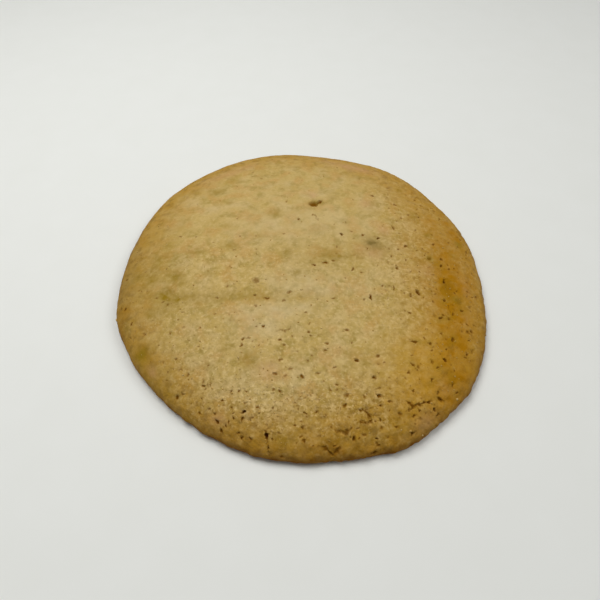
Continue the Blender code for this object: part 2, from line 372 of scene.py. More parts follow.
FRONT_PORES = (
    Pore(14.0, -31.4, 1.2, 0.5, turn=10.0, dark=0.28),
    Pore(16.1, -31.3, 0.8, 0.5, turn=80.0, dark=0.25),
    Pore(7.5, -31.7, 1.1, 0.4, dark=0.28),
    Pore(8.2, -32.6, 1.4, 0.5, turn=25.0, dark=0.38),
    Pore(5.3, -31.9, 0.8, 0.5, dark=0.42),
    Pore(6.4, -30.8, 0.6, 0.5, dark=0.42),
    Pore(2.9, -33.5, 1.0, 0.5, turn=-20.0, dark=0.35),
    Pore(15.9, -33.6, 0.9, 0.6, dark=0.48),
    Pore(19.1, -35.1, 0.9, 0.6, dark=0.60),
    Pore(20.1, -35.7, 0.9, 0.6, turn=60.0, dark=0.42),
    Pore(17.6, -35.6, 0.8, 0.6, dark=0.38),
    Pore(24.9, -34.9, 1.5, 0.5, turn=20.0, dark=0.48),
    Pore(12.3, -36.8, 0.8, 0.7, dark=0.68),
    Pore(14.2, -38.0, 0.8, 0.7, dark=0.42),
    Pore(16.7, -37.8, 0.9, 0.6, turn=-30.0, dark=0.55),
    Pore(10.0, -38.3, 0.9, 0.5, dark=0.32),
    Pore(11.1, -39.2, 1.3, 0.5, turn=-35.0, dark=0.38),
    Pore(13.5, -40.5, 1.0, 0.5, turn=-20.0, dark=0.42),
    Pore(15.0, -39.4, 0.7, 0.5, dark=0.36),
    Pore(12.8, -41.6, 1.6, 0.7, turn=12.0, dark=0.44),
    Pore(3.6, -36.4, 0.5, 0.4, dark=0.36),
    Pore(4.3, -36.3, 0.5, 0.4, dark=0.36),
    Pore(0.5, -40.2, 1.0, 0.6, turn=100.0, dark=0.48),
    Pore(2.0, -41.0, 0.7, 0.5, dark=0.38),
    Pore(5.9, -41.0, 1.2, 0.5, turn=30.0, dark=0.50),
    Pore(-3.5, -42.4, 1.0, 0.5, turn=10.0, dark=0.52),
    Pore(-1.1, -34.1, 0.7, 0.4, dark=0.32),
    Pore(-7.6, -34.7, 1.2, 0.6, turn=-25.0, dark=0.42),
    Pore(-9.9, -33.9, 0.8, 0.5, dark=0.30),
    Pore(-10.4, -39.5, 0.9, 0.6, turn=50.0, dark=0.70),
    Pore(-8.9, -39.6, 0.7, 0.6, dark=0.50),
    Pore(-11.0, -38.6, 0.8, 0.6, dark=0.36),
    Pore(-14.1, -33.2, 1.1, 0.5, turn=10.0, dark=0.46),
    Pore(-16.4, -34.5, 0.8, 0.6, dark=0.34),
    Pore(-18.3, -34.9, 0.9, 0.5, turn=-40.0, dark=0.42),
)

LEFT_PORES = (
    Pore(-11.1, -21.6, 0.9, 0.7, turn=80.0, dark=0.42),
    Pore(-11.2, -22.8, 1.1, 0.6, turn=75.0, dark=0.38),
    Pore(-10.1, -21.5, 0.9, 0.4, turn=10.0, dark=0.40),
    Pore(-17.9, -30.4, 0.9, 0.7, dark=0.44),
    Pore(-22.8, -31.7, 1.1, 0.7, turn=60.0, dark=0.48),
    Pore(-21.6, -31.3, 1.3, 0.4, turn=-20.0, dark=0.46),
    Pore(-21.0, -27.9, 0.7, 0.5, dark=0.32),
    Pore(-22.6, -26.9, 1.0, 0.4, dark=0.32),
    Pore(-27.0, -12.4, 0.8, 0.6, dark=0.28),
    Pore(-31.1, -18.7, 0.9, 0.7, dark=0.32),
    Pore(-34.4, -15.5, 1.0, 0.7, turn=50.0, dark=0.50),
    Pore(-36.6, -11.7, 1.0, 0.7, turn=60.0, dark=0.58),
)

LEAST_ROUGHNESS = 0.22    # of the smooth back; 1 is sandy, and more is crumbled
MOST_ROUGHNESS = 1.6

ROUGH_SIDES = (
    RoughSide(axis=1, start=12.0, full=-4.0, strength=0.22),
    RoughSide(axis=1, start=-26.0, full=-35.5, strength=0.70),
    RoughSide(axis=0, start=12.0, full=28.0, strength=0.46),
)

CRUMBLY_PATCHES = (
    CrumblyPatch(-8.5, -36.5, reach=4.0, strength=0.30),
    CrumblyPatch(11.5, -37.0, reach=5.0, strength=0.75),
    CrumblyPatch(22.5, -33.8, reach=4.5, strength=0.60),
    CrumblyPatch(5.0, -41.0, reach=3.0, strength=0.30),
    CrumblyPatch(-6.0, -24.0, reach=5.0, strength=0.12),
    CrumblyPatch(29.5, -29.0, reach=4.0, strength=0.25),
    CrumblyPatch(-22.0, -28.0, reach=8.0, strength=0.22),
    CrumblyPatch(-33.0, -18.0, reach=7.0, strength=0.14),
)

SUNKEN_SPOTS = (
    Pore(-6.0, 12.4, 4.5, 4.0, depth=0.14),
    Pore(-20.5, 21.8, 5.5, 4.0, turn=20.0, depth=0.16),
    Pore(-15.5, 2.4, 4.5, 3.5, depth=0.14),
    Pore(-26.7, -5.4, 4.0, 4.0, depth=0.16),
    Pore(-28.1, -9.9, 4.0, 3.5, depth=0.16),
    Pore(-30.9, -22.4, 4.5, 3.5, turn=-50.0, depth=0.22),
    Pore(-9.8, -25.8, 5.5, 4.5, turn=15.0, depth=0.18),
    Pore(31.1, -9.4, 9.0, 4.5, turn=95.0, depth=0.25),
    Pore(16.2, 3.3, 5.0, 3.5, depth=0.12),
)

SHALLOW_CREASE = Crack(
    ((-27.9, -10.0), (-18.9, -12.5), (-6.8, -12.2), (7.3, -11.7)), width=4.0, depth=0.20, dark=0.0
)

CRACKS = (
    Crack(((-6.0, -37.2), (-5.9, -40.2), (-5.6, -42.0)), width=0.4, depth=0.10, dark=0.35),
    Crack(((19.1, -33.5), (19.9, -34.1), (20.9, -33.9), (22.2, -33.3), (23.6, -33.0)), 0.55, 0.18, 0.70),
    Crack(((20.4, -34.1), (19.2, -35.1)), width=0.55, depth=0.18, dark=0.62),
    Crack(((11.1, -35.2), (11.8, -35.8), (12.3, -36.8)), width=0.55, depth=0.16, dark=0.60),
    Crack(((10.6, -37.0), (11.4, -37.2), (12.5, -37.2)), width=0.55, depth=0.14, dark=0.56),
    Crack(((6.2, -38.7), (7.6, -39.1), (8.5, -38.5)), width=0.9, depth=0.14, dark=0.34),
    Crack(((4.0, -41.1), (4.8, -41.7), (5.4, -42.2)), width=0.6, depth=0.22, dark=0.80),
    Crack(((6.8, -41.1), (5.9, -41.9)), width=0.55, depth=0.16, dark=0.60),
    Crack(((-0.8, -33.8), (0.8, -33.2), (2.1, -32.3)), width=0.4, depth=0.08, dark=0.25),
    Crack(((2.9, 11.9), (3.9, 9.9)), width=0.4, depth=0.08, dark=0.25),
    Crack(((-4.7, -19.8), (-1.8, -19.6)), width=0.4, depth=0.08, dark=0.30),
    Crack(((16.8, -8.9), (18.8, -9.0)), width=0.35, depth=0.07, dark=0.25),
)

STAINS = (
    Stain(Tint.TOASTED, 28.2, -5.0, 46.0, 17.0, 0.32, turn=92.0),
    Stain(Tint.TOASTED, 31.7, 3.5, 20.0, 7.5, 0.36, turn=97.0),
    Stain(Tint.TOASTED, 31.0, -12.0, 23.0, 8.0, 0.68, turn=83.0),
    Stain(Tint.TOASTED, 28.4, -24.5, 17.0, 10.0, 0.34, turn=62.0),
    Stain(Tint.TOASTED, 23.5, -30.8, 16.0, 7.0, 0.24, turn=45.0),
    Stain(Tint.TOASTED, 29.6, -28.6, 9.0, 5.0, 0.40, turn=52.0),
    Stain(Tint.TOASTED, 0.0, -42.0, 54.0, 8.0, 0.24),
    Stain(Tint.TOASTED, 15.0, -36.7, 20.0, 6.0, 0.12, turn=20.0),
    Stain(Tint.TOASTED, 27.0, 21.5, 12.0, 8.0, 0.14, turn=120.0),
    Stain(Tint.TOASTED, -36.4, -12.6, 4.0, 3.0, 0.45, turn=70.0),
    Stain(Tint.TOASTED, 30.6, -8.7, 6.0, 3.6, 0.40, turn=95.0),
    Stain(Tint.TOASTED, 35.6, 9.0, 9.0, 3.5, 0.74, turn=103.0),
    Stain(Tint.TOASTED, -31.2, -22.6, 4.4, 3.0, 0.52, turn=-50.0),
    Stain(Tint.TOASTED, 37.0, -4.5, 10.0, 3.4, 0.34, turn=92.0),
    Stain(Tint.TOASTED, 13.5, -41.0, 9.0, 2.2, 0.22, turn=14.0),
    Stain(Tint.TOASTED, 27.5, -32.5, 6.0, 2.6, 0.24, turn=45.0),
    Stain(Tint.TOASTED, -37.0, -15.5, 10.0, 2.4, 0.26, turn=-67.0),
    Stain(Tint.OLIVE, 14.0, -38.5, 22.0, 5.0, 0.18, turn=20.0),
    Stain(Tint.OLIVE, 30.4, -8.4, 5.5, 4.0, 0.30, turn=95.0),
    Stain(Tint.OLIVE, 32.1, -10.4, 2.4, 2.0, 0.50),
    Stain(Tint.OLIVE, 27.9, -0.2, 1.6, 1.5, 0.80),
    Stain(Tint.OLIVE, 28.7, 7.1, 2.6, 2.2, 0.55),
    Stain(Tint.OLIVE, 35.9, 6.2, 3.0, 2.0, 0.60, turn=60.0),
    Stain(Tint.OLIVE, 33.4, 1.8, 1.8, 1.6, 0.45),
    Stain(Tint.OLIVE, 25.9, 12.9, 3.4, 2.4, 0.45, turn=60.0),
    Stain(Tint.OLIVE, 24.1, 23.6, 2.0, 1.8, 0.45),
    Stain(Tint.OLIVE, 3.5, 16.0, 3.0, 2.2, 0.90, turn=15.0),
    Stain(Tint.OLIVE, -6.0, 12.4, 3.4, 3.0, 0.58),
    Stain(Tint.OLIVE, 7.0, -0.5, 26.0, 11.0, 0.22, turn=5.0),
    Stain(Tint.OLIVE, -20.5, 21.8, 4.0, 2.6, 0.65, turn=20.0),
    Stain(Tint.OLIVE, -15.5, 2.4, 3.4, 2.6, 0.55),
    Stain(Tint.OLIVE, -26.7, -5.4, 3.2, 3.2, 0.48),
    Stain(Tint.OLIVE, -31.3, -5.6, 2.6, 2.4, 0.55),
    Stain(Tint.OLIVE, -28.1, -9.9, 3.6, 2.8, 0.50),
    Stain(Tint.OLIVE, -31.2, -22.4, 4.2, 3.0, 0.78, turn=-50.0),
    Stain(Tint.OLIVE, -25.3, -11.4, 3.6, 2.4, 0.34),
    Stain(Tint.OLIVE, -28.5, -27.2, 16.0, 4.5, 0.34, turn=-48.0),
    Stain(Tint.OLIVE, -14.0, -23.4, 3.0, 2.0, 0.35),
    Stain(Tint.OLIVE, -17.4, -26.8, 2.4, 1.4, 0.40),
    Stain(Tint.OLIVE, -9.8, -25.9, 3.8, 3.4, 0.60, turn=15.0),
    Stain(Tint.OLIVE, -2.7, -39.9, 4.0, 2.0, 0.50),
    # Painted shade on the left flank, in olive
    Stain(Tint.OLIVE, -29.0, -4.0, 26.0, 11.0, 0.32, turn=95.0),
    Stain(Tint.OLIVE, -23.5, -12.0, 15.0, 5.5, 0.32),
    Stain(Tint.OLIVE, 5.0, -1.5, 6.0, 3.4, 0.28, turn=10.0),
    Stain(Tint.OLIVE, -10.0, -11.9, 30.0, 2.6, 0.40, turn=-2.0),
    Stain(Tint.OLIVE, -16.4, 26.0, 3.4, 2.2, 0.30, turn=15.0),
    Stain(Tint.OLIVE, -10.0, 27.2, 2.6, 2.8, 0.34, turn=40.0),
    Stain(Tint.OLIVE, -16.7, 16.9, 2.2, 1.6, 0.34),
    Stain(Tint.OLIVE, -3.1, 0.1, 3.6, 2.2, 0.40, turn=15.0),
    Stain(Tint.OLIVE, -22.5, 0.9, 4.2, 2.0, 0.42),
    Stain(Tint.OLIVE, -16.8, 8.8, 3.4, 1.8, 0.30, turn=-10.0),
    Stain(Tint.OLIVE, -0.6, -6.0, 2.2, 1.8, 0.34),
    Stain(Tint.OLIVE, 6.2, -0.1, 3.4, 2.6, 0.28, turn=-25.0),
    Stain(Tint.OLIVE, 9.2, -1.2, 4.2, 1.6, 0.34),
    Stain(Tint.OLIVE, 3.1, 6.8, 3.4, 3.0, 0.26),
    Stain(Tint.OLIVE, 7.7, 18.2, 2.8, 2.2, 0.26),
    Stain(Tint.OLIVE, 17.2, 13.2, 3.2, 2.6, 0.30),
    Stain(Tint.OLIVE, -9.0, 5.0, 4.0, 1.8, 0.28),
    Stain(Tint.OLIVE, -18.7, -5.4, 3.4, 2.2, 0.26),
    Stain(Tint.OLIVE, -24.6, -7.3, 3.2, 2.4, 0.36),
    Stain(Tint.OLIVE, -35.2, -3.9, 3.4, 3.0, 0.46),
    Stain(Tint.OLIVE, -30.7, 0.0, 3.0, 2.6, 0.36),
    Stain(Tint.OLIVE, -30.5, -13.8, 3.6, 2.4, 0.32),
    Stain(Tint.OLIVE, -35.4, -16.5, 2.6, 2.0, 0.50, turn=-60.0),
    Stain(Tint.OLIVE, 32.8, -10.9, 3.0, 2.0, 0.25, turn=40.0),
    Stain(Tint.OLIVE, 27.6, -27.9, 3.0, 2.4, 0.34),
    Stain(Tint.ROSY, -28.4, -26.4, 3.4, 2.0, 0.55, turn=-50.0),
    Stain(Tint.ROSY, 2.9, 18.9, 2.0, 2.4, 0.50),
    Stain(Tint.ROSY, 15.3, 16.5, 3.6, 2.6, 0.45),
    Stain(Tint.ROSY, 18.4, 7.2, 2.6, 4.0, 0.40),
    Stain(Tint.ROSY, 12.9, 33.4, 14.0, 4.0, 0.55, turn=-22.0),
    Stain(Tint.ROSY, -17.9, 30.4, 14.0, 4.0, 0.40, turn=32.0),
    Stain(Tint.ROSY, 15.4, 0.4, 7.0, 4.0, 0.35, turn=-20.0),
    Stain(Tint.ROSY, 26.9, -4.0, 3.0, 4.5, 0.35),
    Stain(Tint.ROSY, 34.4, -6.9, 3.0, 5.0, 0.40),
    Stain(Tint.ROSY, 32.9, -15.8, 2.4, 4.0, 0.35),
    Stain(Tint.ROSY, 27.0, -30.2, 4.0, 4.0, 0.35),
    Stain(Tint.ROSY, 22.3, -36.3, 5.0, 3.0, 0.50, turn=35.0),
    Stain(Tint.ROSY, -6.0, -28.0, 5.0, 4.5, 0.40),
    Stain(Tint.ROSY, -15.0, -36.2, 3.0, 2.0, 0.40),
    Stain(Tint.PALE, -4.0, -15.0, 16.0, 4.0, 0.45),
    Stain(Tint.PALE, 0.0, -8.6, 14.0, 8.0, 0.40, turn=5.0),
    Stain(Tint.PALE, 12.0, -9.5, 10.0, 6.0, 0.20, turn=20.0),
    Stain(Tint.PALE, 3.0, 6.0, 22.0, 10.0, 0.18),
    Stain(Tint.PALE, -8.5, -18.8, 10.0, 5.0, 0.45),
    Stain(Tint.PALE, 2.0, 10.0, 30.0, 9.0, 0.22),
    Stain(Tint.PALE, -10.0, 5.0, 13.0, 12.0, 0.14),
    Stain(Tint.PALE, -7.0, -31.3, 16.0, 8.0, 0.14),
    Stain(Tint.PALE, 0.0, 21.3, 34.0, 16.0, 0.12),
    # Painted light on the lower right slope, in bright ochre
    Stain(Tint.LIT_OCHRE, 24.5, -25.5, 22.0, 14.0, 0.42, turn=60.0),
    # Painted shade along the left rim, in grey-brown
    Stain(Tint.SMUDGE_AND_SHADE, -38.0, -4.0, 28.0, 6.5, 0.42, turn=95.0),
    Stain(Tint.SMUDGE_AND_SHADE, 16.2, 3.0, 5.4, 4.0, 0.55, turn=-20.0),
    Stain(Tint.SMUDGE_AND_SHADE, 15.5, 3.3, 2.6, 2.0, 0.65, turn=10.0),
    Stain(Tint.SMUDGE_AND_SHADE, 7.5, 18.3, 2.0, 2.0, 0.20),
)

HALO_REACH = 2.6          # of a pore's own length and width
HALO_STRENGTH = 0.55      # of its darkness

# The pores of the toasted side lie in darker, soaked spots
HALOS = tuple(
    Stain(
        Tint.OLIVE,
        pore.x,
        pore.y,
        HALO_REACH * pore.length,
        HALO_REACH * pore.width,
        HALO_STRENGTH * pore.dark,
        pore.turn,
    )
    for pore in RIGHT_PORES
)


# ---------------------------------------------------------------------------------------------------
# The smooth form
# ---------------------------------------------------------------------------------------------------


@dataclass(frozen=True)
class Dome:
    """Smooth form of the cookie as its solid has it, laid out as rings round the top.

    The flat layout has ring numbers for radii: 0 is the top of the dome, `crown_rings` the widest
    line, and `rings` the edge of the base.
    """

    crown_height: float = 9.0      # base to the top of the dome
    rim_height: float = 1.3        # height at which the cookie is widest
    foot_inset: float = 0.7        # how far the foot of the rim turns in
    exponent: float = 2.3          # 2 gives an ellipse from middle to rim, more a flatter top
    mean_radius: float = 41.5
    rim_radii: tuple[float, ...] = (
        39.7, 40.4, 41.4, 42.8, 42.7, 44.1, 43.6, 42.8, 41.0,
        40.3, 40.4, 40.4, 40.5, 42.0, 42.5, 43.8, 42.9, 40.6,
    )
    wobble: float = 0.10           # fine unevenness of the outline, to either side
    wobble_length: float = 4.5
    crown_rings: int = 121
    foot_rings: int = 7
    samples: int = 4000            # along the profile and round the rim

    @property
    def rings(self) -> int:
        """Number of the last ring, the edge of the base."""
        return self.crown_rings + self.foot_rings

    @cached_property
    def rim_table(self) -> tuple[np.ndarray, np.ndarray]:
        """Radius of the widest line all round.

        Returns:
            Evenly spaced bearings, in radians, and the radius at each.
        """
        bearings = np.linspace(-np.pi, np.pi, self.samples + 1)
        radius = wave_through(self.rim_radii, bearings)
        for bump in RIM_BUMPS:
            away = (np.degrees(bearings) - bump.bearing + 180.0) % 360.0 - 180.0
            radius += bump.height * bell(away / bump.spread)
        round_rim = from_polar(self.mean_radius, bearings, np.zeros_like(bearings))
        return bearings, radius + self.wobble * noise_at(round_rim, self.wobble_length)

    @cached_property
    def profile(self) -> tuple[np.ndarray, np.ndarray, np.ndarray]:
        """The dome in section, its rings evenly spaced along the skin.

        Returns:
            Share of the rim radius, inset and height at each whole ring.
        """
        angle = np.linspace(0.0, np.pi / 2.0, self.samples)
        share = np.sin(angle) ** (2.0 / self.exponent)
        height = self.rim_height + (self.crown_height - self.rim_height) * np.cos(angle)
        steps = np.hypot(np.diff(self.mean_radius * share), np.diff(height))
        run = np.concatenate(([0.0], np.cumsum(steps)))
        stops = np.linspace(0.0, run[-1], self.crown_rings + 1)
        turn = np.linspace(0.0, np.pi / 2.0, self.foot_rings + 1)[1:]
        shares = np.concatenate((np.interp(stops, run, share), np.ones(self.foot_rings)))
        insets = np.concatenate((np.zeros(self.crown_rings + 1), self.foot_inset * (1.0 - np.cos(turn))))
        heights = np.concatenate((np.interp(stops, run, height), self.rim_height * (1.0 - np.sin(turn))))
        return shares, insets, heights

    @cached_property
    def middle(self) -> np.ndarray:
        """Middle of the outline's box.

        Returns:
            Its place in the plan, from the dome's own axis.
        """
        bearings, radius = self.rim_table
        outline = radius[:, None] * np.stack((np.cos(bearings), np.sin(bearings)), axis=-1)
        return (outline.max(axis=0) + outline.min(axis=0)) / 2.0

    def rim_radius(self, bearings: np.ndarray) -> np.ndarray:
        """Radius of the widest line at bearings in radians."""
        return np.interp(bearings, *self.rim_table)

    def wrap(self, flat: np.ndarray) -> np.ndarray:
        """Wrap points of the flat layout over the dome.

        Args:
            flat: ring number and bearing in radians of each point; ring numbers need not be whole.

        Returns:
            The points in space, in millimetres from the foot of the dome's own axis.
        """
        rings = np.minimum(flat[:, 0], self.rings)
        whole = np.arange(self.rings + 1)
        share, inset, height = (np.interp(rings, whole, part) for part in self.profile)
        return from_polar(share * self.rim_radius(flat[:, 1]) - inset, flat[:, 1], height)

    def outward(self, flat: np.ndarray) -> np.ndarray:
        """Find which way the dome faces, by the slope across one ring.

        Args:
            flat: ring number and bearing in radians of each point.

        Returns:
            The unit normal at each point.
        """
        half = np.array((0.5, 0.0))
        inner = self.wrap(np.maximum(flat - half, (0.0, -np.pi)))
        outer = self.wrap(flat + half)
        fall = inner[:, 2] - outer[:, 2]
        run = np.hypot(outer[:, 0], outer[:, 1]) - np.hypot(inner[:, 0], inner[:, 1])
        normals = from_polar(fall, flat[:, 1], run)
        normals[flat[:, 0] < half[0]] = (0.0, 0.0, 1.0)
        return normals / np.linalg.norm(normals, axis=1, keepdims=True)

    def over(self, x: float, y: float) -> np.ndarray:
        """Find the point of the smooth dome over a place in the plan.

        Args:
            x: the place, to the right of the middle of the outline.
            y: the place, to the back of it.

        Returns:
            The point, from the foot of the dome's own axis.
        """
        x, y = np.array((x, y)) + self.middle
        share = min(np.hypot(x, y) / self.rim_radius(np.arctan2(y, x)), 1.0)
        rise = (1.0 - share**self.exponent) ** 0.5
        return np.array((x, y, self.rim_height + (self.crown_height - self.rim_height) * rise))


# ---------------------------------------------------------------------------------------------------
# Relief
# ---------------------------------------------------------------------------------------------------


def distance_to_oval(points: np.ndarray, middle: np.ndarray, shape: Pore | Stain) -> np.ndarray:
    """Measure how far points are from the middle of an oval, over the skin.

    Args:
        points: points of the skin.
        middle: the middle of the oval, on the skin.
        shape: what has the oval's length, width and turn.

    Returns:
        The distance of each point, 1 at the edge of the oval.
    """
    turn = np.radians(shape.turn)
    offset = points - middle
    along = offset[:, 0] * np.cos(turn) + offset[:, 1] * np.sin(turn)
    across = np.sqrt(np.maximum((offset**2).sum(axis=1) - along**2, 0.0))
    return np.hypot(2.0 * along / shape.length, 2.0 * across / shape.width)


def distance_to_line(points: np.ndarray, line: list[np.ndarray], width: float) -> np.ndarray:
    """Measure how far points are from a line of straight legs, over the skin.

    Args:
        points: points of the skin.
        line: the ends of the legs, on the skin.
        width: the width of what lies along the line.

    Returns:
        The distance of each point, 1 at half the width.
    """
    nearest = np.full(len(points), np.inf)
    for start, end in zip(line[:-1], line[1:]):
        leg = end - start
        reach = np.clip((points - start) @ leg / (leg @ leg), 0.0, 1.0)
        away = np.linalg.norm(points - start - reach[:, None] * leg, axis=1)
        nearest = np.minimum(nearest, away)
    return 2.0 * nearest / width


def roughness(points: np.ndarray) -> np.ndarray:
    """Tell how rough the crust baked: smooth at the back, torn and sandy in front and at the right.

    Args:
        points: points of the skin, or places in the plan.

    Returns:
        The roughness at each, 1 where it is sandy and more where it has crumbled.
    """
    rough = np.full(len(points), LEAST_ROUGHNESS)
    for side in ROUGH_SIDES:
        rough += side.strength * smooth_step(side.start, side.full, points[:, side.axis])
    for patch in CRUMBLY_PATCHES:
        away = np.hypot(points[:, 0] - patch.x, points[:, 1] - patch.y) / patch.reach
        rough += patch.strength * bell(away)
    return np.minimum(rough, MOST_ROUGHNESS)


@dataclass(frozen=True)
class FinePores:
    """Small pores between the named ones and pits along the cracks, drawn from a fixed seed."""

    seed: int = 7
    pores: int = 620
    smallest: float = 0.30
    largest: float = 0.85
    slimness: tuple[float, float] = (0.45, 0.90)     # width of a pore, as a share of its length
    darkness: tuple[float, float] = (0.12, 0.56)
    smooth_shade: float = 0.5      # share of the darkness that is left where the crust is smooth
    crowding: float = 2.0          # power of the roughness that their density follows
    half_side: float = 44.0        # of the square that places are drawn in
    reach: float = 0.97            # share of the rim radius that they keep within
    clearance: float = 0.6         # to the named pores
    pit_spacing: float = 0.55      # along a crack
    pit_stray: float = 0.14        # how far a pit lies off the line
    pit_least: tuple[float, float] = (1.1, 0.7)      # its length and width, in widths of the crack
    pit_most: tuple[float, float] = (2.4, 1.3)
    pit_turn: float = 35.0         # how far it turns out of the line
    pit_shade: tuple[float, float] = (0.45, 1.15)    # its share of the crack's darkness

    def places(
        self, dome: Dome, dice: np.random.Generator, crowding: float
    ) -> Iterator[tuple[float, float]]:
        """Places on the cookie, one after another, denser where it baked rougher.

        Args:
            dome: the form that they lie on.
            dice: what they are drawn with.
            crowding: power of the roughness that their density follows; 0 spreads them evenly.

        Yields:
            The place of each in the plan.
        """
        while True:
            x, y = dice.uniform(-self.half_side, self.half_side, 2)
            inside = np.hypot(x, y) < self.reach * dome.rim_radius(np.arctan2(y, x))
            if inside and dice.random() < roughness(np.array(((x, y),)))[0] ** crowding:
                yield x, y

    def scattered(self, dome: Dome, named: Iterable[Pore]) -> list[Pore]:
        """Draw the pores.

        Args:
            dome: the form that they lie on.
            named: the pores that they keep clear of.

        Returns:
            The pores.
        """
        dice = np.random.default_rng(self.seed)
        places = self.places(dome, dice, self.crowding)
        taken = np.array([(pore.x, pore.y) for pore in named])
        pores = []
        while len(pores) < self.pores:
            x, y = next(places)
            if np.hypot(*(taken - (x, y)).T).min() < self.clearance:
                continue
            length = self.smallest + (self.largest - self.smallest) * dice.random() ** 2
            width = length * dice.uniform(*self.slimness)
            rough = roughness(np.array(((x, y),)))[0]
            shade = min(self.smooth_shade + (1.0 - self.smooth_shade) * rough, 1.0)
            dark = shade * dice.uniform(*self.darkness)
            turn = dice.uniform(0.0, 180.0)
            pores.append(Pore(x, y, length, width, turn=turn, dark=dark))
        return pores

    def strung(self, cracks: Iterable[Crack]) -> list[Pore]:
        """Draw the pits that break up the lines of cracks.

        Args:
            cracks: the cracks that they lie along.

        Returns:
            The pits.
        """
        dice = np.random.default_rng(self.seed)
        pits = []
        for crack in cracks:
            for start, end in zip(crack.points[:-1], crack.points[1:]):
                run = np.hypot(*np.subtract(end, start))
                heading = np.degrees(np.arctan2(end[1] - start[1], end[0] - start[0]))
                for along in np.arange(dice.uniform(0.0, self.pit_spacing), run, self.pit_spacing):
                    stray = dice.normal(0.0, self.pit_stray, 2)
                    x, y = start + np.subtract(end, start) * along / run + stray
                    length, width = crack.width * dice.uniform(self.pit_least, self.pit_most)
                    turn = heading + dice.uniform(-self.pit_turn, self.pit_turn)
                    dark = crack.dark * dice.uniform(*self.pit_shade)
                    pits.append(Pore(x, y, length, width, turn=turn, dark=dark))
        return pits


